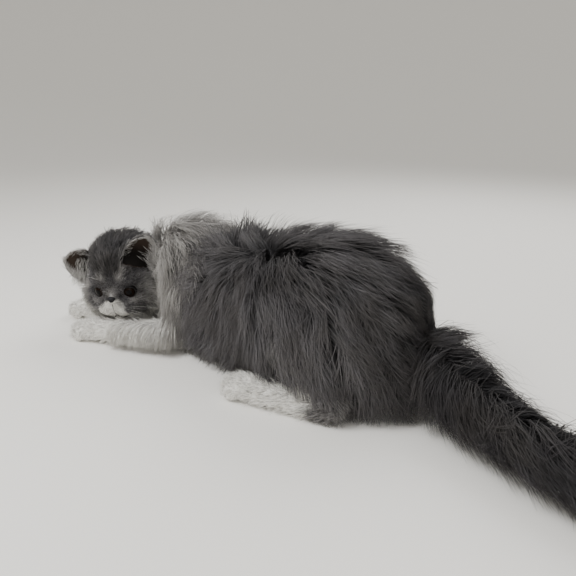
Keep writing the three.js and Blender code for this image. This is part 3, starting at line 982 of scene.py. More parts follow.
@dataclass
class LongCoat:
    """The long hair over a lofted form: tufts gathered in locks that lie along it and hang.

    The angles past which hair hangs down are in hang, and the share of stiffer, longer hairs is guard.
    """

    spine: Spine
    patch: Patch
    count: int
    seed: int
    span: tuple[float, float] = (0.0, 1.0)
    angles: tuple[float, float] = (-2.4, 2.4)
    long: float = 50.0
    wide: float = 0.95
    clump: float = 11.0
    rise: float = 0.55
    root: float = 0.1
    hang: float = 1.35
    guard: float = 0.16
    least: float = 0.2
    segments: int = 4

    def lie(self, u: Array, a: Array) -> Array:
        """The way the hair lies: 0 along the spine, a quarter turn straight round to the left."""
        raise NotImplementedError

    def marks(self, p: Array) -> Array:
        """Markings at the roots."""
        return Markings.body(p)

    def length(self, u: Array, a: Array) -> Array:
        """Length of the hair in millimetres."""
        return np.full(np.shape(u), self.long)

    def gather(self, u: Array, a: Array) -> Array:
        """How far the tufts of a lock draw together at their tips, from 0 to 1."""
        return np.full(np.shape(u), 0.6)

    def stand(self, u: Array, a: Array) -> Array:
        """How much further the hair stands off than the coat is deep, as a share of the depth."""
        return np.zeros(np.shape(u))

    def rest(self, p: Array) -> Array:
        """The height at which hair that hangs down at a point comes to rest."""
        return np.full(p.shape[:-1], 1.0)

    def tuck(self, path: Array) -> Array:
        """The paths, drawn in where the form under them is narrower than the coat."""
        return path

    def roots(self, rng: np.random.Generator) -> tuple[Array, Array]:
        """Roots spread evenly over the form's surface.

        Args:
            rng: random numbers.

        Returns:
            Shares of the length, and angles.
        """
        u = rng.uniform(*self.span, self.count * 3)
        a = rng.uniform(*self.angles, self.count * 3)
        size = self.spine.sizes(u)
        girth = size[:, 0] + size[:, 1]
        keep = rng.random(len(u)) < girth / girth.max()
        return u[keep][: self.count], a[keep][: self.count]

    def trace(self, g: Growth, t: Array) -> tuple[Array, Array]:
        """The tufts' points at shares t of their lengths.

        Args:
            g: how they grow.
            t: shares of the length, a row for each tuft.

        Returns:
            Points, and the way outward at each.
        """
        size = self.spine.sizes(g.lock_u)
        around = (np.maximum(size[:, 0], size[:, 1]) + 0.7 * size[:, 2])[:, None]
        turn = g.lie[:, None] + g.curl[:, None] * (t - 0.3)
        apart = 1 - g.tight[:, None] * t**1.2
        way = g.long[:, None] * t
        ut = g.lock_u[:, None] + (g.u - g.lock_u)[:, None] * apart + way * np.cos(turn) / self.spine.length
        at = g.lock_a[:, None] + (g.a - g.lock_a)[:, None] * apart + way * np.sin(turn) / around
        share = self.root + (g.reach[:, None] - self.root) * t**self.rise
        start = np.maximum(np.abs(g.a)[:, None], self.hang)
        over = np.maximum(np.abs(at) - start, 0) * 0.6
        at = at - np.sign(at) * over
        path = self.spine.point(ut, at, share)
        path[..., 2] -= over * around * 0.95
        return self.tuck(path), self.spine.outward(np.clip(ut, 0.02, 0.98), at)

    def cut(self, path: Array, rest: Array) -> Array:
        """The share of each tuft's length at which it comes down to rest.

        Args:
            path: points along the tufts.
            rest: the height of rest for each.

        Returns:
            Shares from 0 to 1.
        """
        z = path[..., 2]
        steps = z.shape[1] - 1
        below = z < rest[:, None]
        first = np.clip(np.argmax(below, axis=1), 1, steps)
        rows = np.arange(len(z))
        high, low = z[rows, first - 1], z[rows, first]
        part = np.clip((high - rest) / np.maximum(high - low, 1e-6), 0, 1)
        return np.where(below.any(axis=1), (first - 1 + part) / steps, 1.0)

    def grow(self) -> Tufts:
        """Grows the tufts.

        Returns:
            Tufts in the cat's millimetres.
        """
        rng = np.random.default_rng(self.seed)
        u, a = self.roots(rng)
        n = len(u)
        skin = self.spine.point(u, a, SKIN_DEEP)
        usual_radius = 70
        long = self.spine.length * (self.span[1] - self.span[0])
        area = long * usual_radius * (self.angles[1] - self.angles[0])
        middles = max(int(area / self.clump**2), 8)
        lock = lock_of(skin, middles)
        guard = rng.random(n) < self.guard
        turn = rng.normal(0, 0.13, middles)[lock] + rng.normal(0, 0.09, n) * (1 + 1.2 * guard)
        reach = 0.88 + self.stand(u, a) + rng.normal(0, 0.12, middles)[lock] + rng.normal(0, 0.08, n)
        reach = reach + guard * (0.08 + 0.6 * rng.random(n) ** 2 * (1 - smooth(np.abs(a), 0.6, 1.3)))
        g = Growth(
            u=u,
            a=a,
            lock_u=u[lock],
            lock_a=a[lock],
            lie=self.lie(u[lock], a[lock]) + turn,
            long=self.length(u, a) * (1 + rng.normal(0, 0.12, middles)[lock]) * rng.uniform(0.62, 1.06, n),
            reach=reach,
            curl=rng.normal(0, 0.2, middles)[lock] + rng.normal(0, 0.12, n),
            tight=self.gather(u, a) * rng.uniform(0.75, 1.1, n) * (1 - 0.6 * guard),
        )
        fine = np.linspace(0, 1, 13)[None, :] * np.ones((n, 1))
        whole, _ = self.trace(g, fine)
        rest = self.rest(whole[:, -1]) + rng.uniform(0, 3.5, n)
        share = self.cut(whole, rest)
        t = np.linspace(0, 1, self.segments + 1)[None, :] * share[:, None]
        path, outward = self.trace(g, t)
        path[..., 2] = np.maximum(path[..., 2], HAIR_FLOOR)
        random = np.stack([rng.random(n), rng.random(middles)[lock]], -1)
        width = self.wide * rng.uniform(0.65, 1.2, n) * np.where(guard, 0.6, 1.0) * (0.5 + 0.5 * share)
        bake = self.patch.at(u, turn_share(a))
        return Tufts(path, outward, width, self.marks(skin), random, bake).kept(share > self.least)


@dataclass
class TrunkCoat(LongCoat):
    """The trunk's coat, which fans out from a whorl on the back and a parting behind it."""

    whorl: float = 0.46

    def parting(self, u: Array) -> Array:
        """The angle of the parting, which starts left of the back's ridge and ends on the tail."""
        return 0.4 * (1 - smooth(u, 0.4, 0.95))

    def lie(self, u: Array, a: Array) -> Array:
        """Away from the whorl: forward and down before it, back and down behind it.

        Args:
            u: shares of the length.
            a: angles about the curve.

        Returns:
            Angles of lie.
        """
        x = a - self.parting(u)
        down = 75.0 * x
        fore = np.minimum(u - self.whorl, 0) * self.spine.length * (0.4 + 0.7 * smooth(np.abs(x), 0.1, 1.2))
        back = 74.0 * smooth(u, self.whorl, 0.82) * (1 - 0.6 * smooth(np.abs(x), 0.6, 1.8))
        return np.arctan2(down, fore + back + 3.0)

    def length(self, u: Array, a: Array) -> Array:
        """Longest on the flanks and rump."""
        share = 0.8 + 0.22 * smooth(np.abs(a), 0.3, 1.2) + 0.22 * smooth(u, 0.75, 0.95)
        return self.long * share * (1 - 0.25 * smooth(-u, -0.16, 0.0))

    def gather(self, u: Array, a: Array) -> Array:
        """Loose on the flank, and in marked locks at the rear."""
        return 0.35 + 0.4 * smooth(u, 0.45, 0.85)

    def stand(self, u: Array, a: Array) -> Array:
        """Closer on the rump's top."""
        return -0.32 * smooth(u, 0.68, 0.88) * (1 - smooth(np.abs(a), 0.8, 1.7))

    def rest(self, p: Array) -> Array:
        """On the floor, and on the top of the hind feet.

        Args:
            p: points where the hair hangs.

        Returns:
            Heights in millimetres.
        """
        x = p[..., 0]
        over = smooth(x, -72, -52) * (1 - smooth(x, 36, 60)) * smooth(np.abs(p[..., 1]), 20, 40)
        return 1.0 + over * (18.0 + 5.0 * ripple(p, 3.0) - 8.0 * bump(x, 6, 18))

    def tuck(self, path: Array) -> Array:
        """Drawn in above the hind feet, and pressed down along the ridge of the back.

        Args:
            path: points along the tufts, which are changed.

        Returns:
            The paths.
        """
        path[..., 2] -= 0.6 * np.maximum(path[..., 2] - 145, 0)
        x, y, z = (path[..., i] for i in range(3))
        over = smooth(x, -80, -50) * (1 - smooth(x, 40, 70))
        limit = 72.0 + 0.6 * np.maximum(z - 20, 0) + 60 * (1 - over)
        excess = np.maximum(np.abs(y) - limit, 0)
        path[..., 1] = y - np.sign(y) * 0.75 * excess
        return path


@dataclass
class NeckCoat(LongCoat):
    """The ruff, which falls from the neck and stands off the nape."""

    def lie(self, u: Array, a: Array) -> Array:
        """Back along the nape, and round and down each side."""
        return np.sign(a) * (QUARTER + 0.2 + 1.2 * np.maximum(0, 1 - np.abs(a) / 0.9))

    def gather(self, u: Array, a: Array) -> Array:
        """Loose, and hardly drawn together at all on the nape."""
        return 0.15 + 0.25 * smooth(np.abs(a), 0.5, 1.2)

    def stand(self, u: Array, a: Array) -> Array:
        """High and soft on the nape."""
        return 0.3 * (1 - smooth(np.abs(a), 0.5, 1.2))

    def tuck(self, path: Array) -> Array:
        """Pressed down along the nape, and in on the right.

        Args:
            path: points along the tufts, which are changed.

        Returns:
            The paths.
        """
        path[..., 2] -= 0.75 * np.maximum(path[..., 2] - 134, 0)
        path[..., 1] -= 0.85 * np.maximum(path[..., 1] - 88, 0)
        return path

    def cut(self, path: Array, rest: Array) -> Array:
        """Cut off where it comes to rest, and before it would lie over the face.

        Args:
            path: points along the tufts.
            rest: the height of rest for each.

        Returns:
            Shares of their length.
        """
        line = (path - np.array([-176.0, 6.0, 0.0])) @ np.array([0.878, 0.479, 0.0])
        over = (line < 9.0 * ripple(path[:, :1], 0.8) - 1.0) & (path[..., 1] < 18)
        first = np.where(over.any(axis=1), np.argmax(over, axis=1), path.shape[1] - 1)
        return np.minimum(super().cut(path, rest), first / (path.shape[1] - 1))


@dataclass
class TailCoat(LongCoat):
    """The plume, parted along the top and swept to the tip."""

    def lie(self, u: Array, a: Array) -> Array:
        """Along the tail, turned outward at the top."""
        turn = 0.8 + 0.5 * (1 - smooth(u, 0.05, 0.35))
        return np.sign(a) * turn * np.maximum(1 - np.abs(a) / 2.7, 0)

    def length(self, u: Array, a: Array) -> Array:
        """Shorter towards the tip."""
        return self.long * (1 - 0.55 * smooth(u, 0.72, 1.0))

    def gather(self, u: Array, a: Array) -> Array:
        """In marked locks."""
        return np.full(np.shape(u), 0.78)

    def stand(self, u: Array, a: Array) -> Array:
        """Flatter along the top."""
        return -0.3 * bump(a, 0, 1.0) * smooth(u, 0.1, 0.35)

    def marks(self, p: Array) -> Array:
        """Dark grey."""
        return Markings.tail(p)


@dataclass
class BibCoat:
    """White hair of the chin and throat, which falls over the left foreleg and fans out on the floor."""

    patch: Patch
    tree: BVHTree
    placing: Placing
    count: int = 5200
    seed: int = 71
    wide: float = 0.85
    segments: int = 4

    def grow(self) -> Tufts:
        """Grows the tufts.

        Returns:
            Tufts in the cat's millimetres.
        """
        rng = np.random.default_rng(self.seed)
        n = self.count
        s, h = rng.random(n), rng.random(n)
        first, last = np.array([-222.0, -16.0, 24.0]), np.array([-154.0, -10.0, 38.0])
        rough = first + (last - first) * s[:, None]
        rough = rough + np.array([4.0, 4.0, 12.0]) * (h * (0.25 + s**2))[:, None]
        root, outward = np.empty((n, 3)), np.empty((n, 3))
        for i, p in enumerate(self.placing.metres(rough)):
            place, normal, _, _ = self.tree.find_nearest(Vector(p))
            root[i], outward[i] = place, normal
        root = self.placing.millimetres(root)
        middles = n // 14
        lock = lock_of(root, middles)
        spread = rng.normal(0, 2.5, (middles, 2))[lock] + rng.normal(0, 2.0, (n, 2))
        tip = np.stack(
            [
                -226 + 76 * (0.85 * s[lock] + 0.15 * s) + spread[:, 0],
                -41 + 4 * h + spread[:, 1] + 14 * s,
                2 + 20 * (1 - h) ** 2 * rng.random(n),
            ],
            -1,
        )
        bend = root + outward * 5 + (tip - root) * np.array([0.5, 0.7, 0.1])
        bend[:, 2] += 3
        t = np.linspace(0, 1, self.segments + 1)[None, :, None] * rng.uniform(0.75, 1.0, (n, 1, 1))
        path = (1 - t) ** 2 * root[:, None] + 2 * t * (1 - t) * bend[:, None] + t**2 * tip[:, None]
        path[..., 2] = np.maximum(path[..., 2], HAIR_FLOOR)
        out = unit(np.array([0.2, -1.0, 0.5])) + 0 * path
        marks = np.stack([0.8 - 0.45 * s + 0.3 * ripple(root, 1.5), 0.75 + 0 * s, 0 * s], -1)
        random = np.stack([rng.random(n), rng.random(middles)[lock]], -1)
        width = self.wide * rng.uniform(0.65, 1.2, n)
        return Tufts(path, out, width, marks, random, self.patch.at(s, h))


@dataclass
class HeadCoat:
    """The head's coat: very short on the face, longer on the dome and cheeks, and swept back."""

    patch: Patch
    count: int = 15500
    seed: int = 31
    wide: float = 0.85
    clump: float = 5.0
    segments: int = 3

    def roots(self, rng: np.random.Generator) -> tuple[Array, Array]:
        """Roots over the head, closer on the face, clear of the eyes and nose.

        Args:
            rng: random numbers.

        Returns:
            Angles back from the face's middle, and angles round it.
        """
        angle = np.arccos(rng.uniform(-0.99, 0.999, self.count * 2))
        b = rng.uniform(-math.pi, math.pi, self.count * 2)
        p = HEAD.point(angle, b, HEAD_ROOT_DEEP)
        keep = np.ones(len(angle), bool)
        for side in Side:
            keep &= np.linalg.norm(p - HEAD.eye(side), axis=1) > EYE_RADIUS + 0.4
        front, up = HEAD.nose()
        local = HEAD.local(p)
        nose = np.array([(local[:, 0] - front) / 5, local[:, 1] / 5.6, (local[:, 2] - up) / 4.4])
        keep &= nose[0] ** 2 + nose[1] ** 2 + nose[2] ** 2 > 1
        keep &= rng.random(len(angle)) < np.maximum(1.35 - 0.42 * angle, 0.3)
        return angle[keep][: self.count], b[keep][: self.count]

    @staticmethod
    def clear_of_eyes(path: Array) -> Array:
        """Which tufts leave the opening of both eyes free.

        Args:
            path: points along the tufts.

        Returns:
            A mask.
        """
        clear = np.ones(len(path), bool)
        for side in Side:
            gaze = unit(HEAD.gaze(side))
            away = path - HEAD.eye(side)
            ahead = away @ gaze
            beside = np.linalg.norm(away - ahead[..., None] * gaze, axis=-1)
            clear &= ~((ahead > 3) & (beside < 5.9)).any(axis=1)
            clear &= (np.linalg.norm(away, axis=-1) > EYE_RADIUS - 0.2).all(axis=1)
        return clear

    def grow(self) -> Tufts:
        """Grows the tufts.

        Returns:
            Tufts in the cat's millimetres.
        """
        rng = np.random.default_rng(self.seed)
        angle, b = self.roots(rng)
        n = len(angle)
        skin = HEAD.point(angle, b, HEAD_ROOT_DEEP)
        d = unit(HEAD.local(skin))
        across = np.degrees(np.arctan2(d[:, 1], d[:, 0]))
        above = np.degrees(np.arcsin(d[:, 2]))
        depth = HEAD.coat(across, above)
        skin_radius, coat_radius = 45, 46.0
        middles = max(int(4 * math.pi * skin_radius**2 / self.clump**2), 8)
        lock = lock_of(skin, middles)
        hairy = smooth(depth, 2, 12)
        beside = [np.linalg.norm(skin - HEAD.eye(s), axis=1) - EYE_RADIUS for s in Side]
        long = (3.6 + 1.9 * (depth - 1.5)) * (1 - 0.5 * sum(np.exp(-((x / 6) ** 2)) for x in beside))
        turn = np.sign(b) * (0.12 + 0.75 * bump(np.abs(b), 2.0, 0.8) * smooth(angle, 0.6, 1.3))
        turn = turn + rng.normal(0, 0.18, middles)[lock] + rng.normal(0, 0.18, n)
        cheek = smooth(np.abs(across), 52, 90) * (1 - smooth(above, 30, 60))
        nape = smooth(np.abs(across), 70, 110) * smooth(above, 10, 40)
        long = (long + 14 * cheek + 12 * nape) * (1 + rng.normal(0, 0.12, middles)[lock])
        long = long * rng.uniform(0.65, 1.15, n)
        jowl = smooth(np.abs(across), 44, 70) * smooth(-above, 5, 28)
        reach = 0.95 + 0.35 * cheek + 0.5 * nape + 0.5 * jowl
        reach = reach + rng.normal(0, 0.12, middles)[lock] + rng.normal(0, 0.14, n)
        t = np.linspace(0, 1, self.segments + 1)[None, :]
        drawn = (0.5 * hairy)[:, None] * t
        step = np.arctan2(np.sin(b - b[lock]), np.cos(b - b[lock]))
        way = long[:, None] * t / coat_radius
        at = angle[:, None] - (angle - angle[lock])[:, None] * drawn + way * np.cos(turn)[:, None]
        side = way * np.sin(turn)[:, None] / np.maximum(np.sin(at), 0.35)
        bt = b[:, None] - step[:, None] * drawn + side
        at = np.clip(at, 0.01, math.pi + 0.4)
        path = HEAD.point(at, bt, 0.05 + (reach[:, None] - 0.05) * t**0.5)
        outward = HEAD.outward(np.clip(at, 0.05, math.pi - 0.2), bt)
        path += outward * (0.4 + 0.5 * rng.random((n, 1, 1))) * t[..., None]
        path[..., 2] -= ((0.07 + 0.25 * jowl) * long * hairy)[:, None] * t**2
        path[..., 2] = np.maximum(path[..., 2], FACE_HAIR_FLOOR)
        clear = self.clear_of_eyes(path)
        for ear in EARS.values():
            short = ear.within(path).any(axis=1)
            path[short] = path[short, :1] + (path[short] - path[short, :1]) * 0.45
            clear &= ~ear.within(path).any(axis=1)
        random = np.stack([rng.random(n), rng.random(middles)[lock]], -1)
        width = self.wide * (0.6 + 0.4 * hairy) * rng.uniform(0.65, 1.2, n)
        bake = self.patch.at(angle / math.pi, turn_share(b))
        return Tufts(path, outward, width, Markings.face(skin), random, bake).kept(clear)


@dataclass
class ShortCoat:
    """Short hair on the legs, paws and ears: tufts that lie along a way over the surface."""

    segments: int = 3

    def tufts(
        self,
        root: Array,
        outward: Array,
        along: Array,
        long: Array,
        lift: float,
        wide: float,
        marks: Array,
        bake: Array,
        rng: np.random.Generator,
    ) -> Tufts:
        """Tufts from roots, laid along a direction.

        Args:
            root: points on the skin.
            outward: normals there.
            along: the way the hair lies.
            long: length of each, in millimetres.
            lift: how far the tips stand off, as a share of the length.
            wide: width of a tuft in millimetres.
            marks: markings of each.
            bake: places on the atlas.
            rng: random numbers.

        Returns:
            The tufts.
        """
        n = len(root)
        along = unit(along - outward * (along * outward).sum(-1, keepdims=True))
        along = unit(along + rng.normal(0, 0.2, (n, 3)))
        long = long * rng.uniform(0.7, 1.2, n)
        t = np.linspace(0, 1, self.segments + 1)[None, :, None]
        rise = lift * long[:, None, None] * (1.6 * t - 0.6 * t**2)
        path = root[:, None] + along[:, None] * long[:, None, None] * t + outward[:, None] * (rise - 0.35)
        path[..., 2] = np.maximum(path[..., 2], SHORT_HAIR_FLOOR)
        out = np.repeat(outward[:, None], self.segments + 1, 1)
        width = wide * rng.uniform(0.7, 1.25, n)
        random = np.stack([rng.random(n), rng.random(n)], -1)
        return Tufts(path, out, width, marks, random, bake)


@dataclass
class LegCoat(ShortCoat):
    """White hair of the legs and paws, short on the toes, with a grey heel."""

    per_leg: int = 2000
    per_paw: int = 1700
    seed: int = 47
    segments: int = 2

    @staticmethod
    def leg_marks(p: Array) -> Array:
        """White, with grey above and a grey heel on the hind legs.

        Args:
            p: the cat's points.

        Returns:
            How white, pale and dark the coat is at each.
        """
        x, z = p[..., 0], p[..., 2]
        uneven = 4 * ripple(p, 3.0)
        hind = (x > -80).astype(float)
        heel = hind * smooth(x + uneven, 22, 44)
        fore = (1 - hind) * smooth(x, -150, -118) * smooth(z, 30, 48) * 0.5
        grey = np.clip(heel + fore + hind * smooth(z + uneven, 24, 40), 0, 1)
        return np.stack([1 - grey, 0.3 * grey, 0.35 * heel * smooth(x, 44, 66)], -1)

    def grow(self) -> Tufts:
        """Grows the tufts of all four legs.

        Returns:
            Tufts in the cat's millimetres.
        """
        rng = np.random.default_rng(self.seed)
        sets = []
        legs = [FORELEGS[s] for s in Side] + [SOLES[s] for s in Side] + [SHANKS[s] for s in Side]
        for k, leg in enumerate(legs):
            u = rng.uniform(0.02, 0.99, self.per_leg)
            a = rng.uniform(-2.7, 2.7, self.per_leg)
            root = leg.point(u, a, 0, -1.4)
            root[:, 2] = np.maximum(root[:, 2], SKIN_FLOOR)
            along = leg.frame(u)[0] + np.array([0, 0, -0.35])
            patch = Patch(0.02 + 0.16 * k, 0.02, 0.14, 0.14)
            long = np.where(k < 2, 8.5 + 7 * (1 - u), 10.5)
            outward = leg.outward(np.clip(u, 0.03, 0.97), a)
            bake = patch.at(u, turn_share(a))
            sets.append(self.tufts(root, outward, along, long, 0.32, 0.72, self.leg_marks(root), bake, rng))
        for k, lumps in enumerate(PAWS.values()):
            for j, egg in enumerate(lumps):
                count = self.per_paw // (2 if j == 0 else 8)
                a = rng.uniform(-math.pi, math.pi, count)
                b = np.arcsin(rng.uniform(-0.5, 1, count))
                root = egg.point(a, b, -1.0)
                outward = unit(egg.point(a, b, 0.5) - egg.point(a, b, -0.5) + np.array([0, 0, 1e-6]))
                turn = math.radians(egg.heading)
                along = np.array([[math.cos(turn), math.sin(turn), -0.35]]) * np.ones((count, 1))
                patch = Patch(0.02 + 0.2 * k + 0.035 * j, 0.18, 0.033, 0.06)
                bake = patch.at(turn_share(a), b / math.pi + 0.5)
                long, marks = np.full(count, 6.0), self.leg_marks(root)
                sets.append(self.tufts(root, outward, along, long, 0.34, 0.66, marks, bake, rng))
        return Tufts.of(sets)


@dataclass
class EarCoat(ShortCoat):
    """Hair of the ears: short outside, a pale fringe from their rims, and wisps that sweep out."""

    count: int = 1100
    fringe: int = 560
    seed: int = 61

    def grow(self) -> Tufts:
        """Grows the tufts of both ears.

        Returns:
            Tufts in the cat's millimetres.
        """
        rng = np.random.default_rng(self.seed)
        sets = []
        for k, ear in enumerate(EARS.values()):
            v = rng.uniform(0.12, 1.0, self.count)
            w = rng.uniform(-1, 1, self.count)
            half, sunk = ear.thick / 2, 0.3
            back, front = ear.point(v, w, half - sunk), ear.point(v, w, -half + sunk)
            outward = unit(back - front)
            along = ear.point(v + 0.05, w, 0) - ear.point(v, w, 0)
            patch = Patch(0.02 + 0.2 * k, 0.26, 0.18, 0.12)
            bake = patch.at(v, (w + 1) / 2)
            edge = smooth(np.abs(w), 0.7, 1.0)
            marks = np.stack([0 * v, 0.15 + 0.4 * edge, 0.5 * smooth(v, 0.5, 0.9)], -1)
            sets.append(self.tufts(back, outward, along, np.full(len(v), 6.0), 0.25, 0.8, marks, bake, rng))
            v = rng.uniform(0.0, 0.98, self.fringe * 2)
            fore = rng.random(len(v)) < 0.7
            w = np.where(fore, ear.fore, -ear.fore) * rng.uniform(0.7, 1.0, len(v))
            root = ear.point(v, w, -half + sunk)
            toward = ear.point(v, w * 0.3, 0) - root
            up = ear.point(v + 0.05, w, 0) - ear.point(v, w, 0)
            face = unit(ear.point(v, w, -half) - ear.point(v, w, half))
            low = smooth(-v, -0.45, -0.05)[:, None]
            along = unit(toward) * (0.5 + 0.5 * low) + unit(up) * (0.9 - 1.5 * low) + face * 0.25
            long = rng.uniform(6, 12, len(v)) * (1 + 0.9 * low[:, 0]) * np.where(fore, 1.0, 0.4)
            marks = np.stack([0.12 + 0 * v, 0.9 + 0 * v, 0 * v], -1)
            bake = patch.at(v, (w + 1) / 2)
            sets.append(self.tufts(root, face, along, long, 0.35, 0.45, marks, bake, rng))
            sets.append(self.wisps(ear, patch, rng))
        return Tufts.of(sets)

    def wisps(self, ear: Ear, patch: Patch, rng: np.random.Generator) -> Tufts:
        """Long pale wisps out of the lower part of an ear, down over its edge.

        Args:
            ear: the ear.
            patch: its place on the atlas.
            rng: random numbers.

        Returns:
            The wisps.
        """
        n, half, sunk = ear.wisps, ear.thick / 2, 0.3
        v, w = rng.uniform(0.02, 0.75, n), ear.fore * (1 - 1.5 * rng.random(n) ** 1.6)
        root = ear.point(v, w, -half + sunk)
        face = unit(ear.point(v, w, -half) - ear.point(v, w, half))
        along = np.array([ear.sweep]) + 0.3 * face + rng.normal(0, 0.25, (n, 3))
        marks = np.stack([0.3 + 0 * v, 0.95 + 0 * v, 0 * v], -1)
        long = rng.uniform(9, 17, n) * (1.35 - v)
        return self.tufts(root, face, along, long, 0.5, 0.4, marks, patch.at(v, (w + 1) / 2), rng)


class Strands:
    """Makes the mesh of a set of tufts."""

    # Corners of a tuft's section in half widths, its width from root to tip, and its patch on the atlas.
    SECTION = ((-1.0, -0.12), (0.0, 0.42), (1.0, -0.12))
    TAPER = (0.75, 1.0, 0.86, 0.66, 0.42, 0.3)
    PATCH = 0.003

    def mesh(self, name: str, tufts: Tufts, placing: Placing) -> bpy.types.Object:
        """Joins the tufts in one mesh, each a bent three-sided blade that ends in a point.

        Args:
            name: the piece's name.
            tufts: what to make.
            placing: turns millimetres into the frame's metres.

        Returns:
            The object, linked to the scene.
        """
        path, outward = tufts.path, tufts.outward
        n, k, _ = path.shape
        along = unit(np.gradient(path, axis=1))
        side = unit(np.cross(along, outward))
        up = np.cross(side, along)
        taper = np.interp(np.linspace(0, 1, k), np.linspace(0, 1, len(self.TAPER)), self.TAPER)[: k - 1]
        half = tufts.width[:, None] * taper[None, :] / 2
        stem, side, up = path[:, :-1], side[:, :-1], up[:, :-1]
        rings = [stem + half[..., None] * (x * side + z * up) for x, z in self.SECTION]
        body = np.stack(rings, 2).reshape(n, (k - 1) * 3, 3)
        points = np.concatenate([body, path[:, -1:]], 1)
        per = points.shape[1]
        quads, tip = [], per - 1
        for i in range(k - 2):
            for j in range(3):
                a, b = 3 * i + j, 3 * i + (j + 1) % 3
                quads.append((a, b, b + 3, a + 3))
        last = 3 * (k - 2)
        ends = [(last + j, last + (j + 1) % 3, tip) for j in range(3)]
        loops = np.array([i for face in quads + ends for i in face])
        starts = np.cumsum([0] + [len(face) for face in quads + ends])[:-1]
        mesh = bpy.data.meshes.new(name)
        mesh.vertices.add(n * per)
        mesh.vertices.foreach_set("co", placing.metres(points).astype(np.float32).ravel())
        each = np.arange(n)[:, None]
        corners, begins = loops[None] + each * per, starts[None] + each * len(loops)
        mesh.loops.add(n * len(loops))
        mesh.loops.foreach_set("vertex_index", corners.astype(np.int32).ravel())
        mesh.polygons.add(n * len(starts))
        mesh.polygons.foreach_set("loop_start", begins.astype(np.int32).ravel())
        mesh.polygons.foreach_set("use_smooth", np.ones(n * len(starts), bool))
        mesh.update(calc_edges=True)
        length = np.repeat(np.linspace(0, 1, k)[:-1], 3)
        length = np.concatenate([length, [1.0]])
        strand = np.zeros((n, per, 3))
        strand[..., 0] = length[None]
        strand[..., 1:] = tufts.random[:, None]
        store(mesh, "marks", np.repeat(tufts.marks[:, None], per, 1))
        store(mesh, "strand", strand)
        across = np.tile([0.0, 0.5, 1.0], k - 1)
        local = np.stack([np.concatenate([across, [0.5]]), length], -1) - 0.5
        places = tufts.bake[:, None] + local[None] * self.PATCH
        uv = places[:, loops].astype(np.float32)
        mesh.uv_layers.new(name="OFBake").data.foreach_set("uv", uv.ravel())
        return linked(name, mesh)


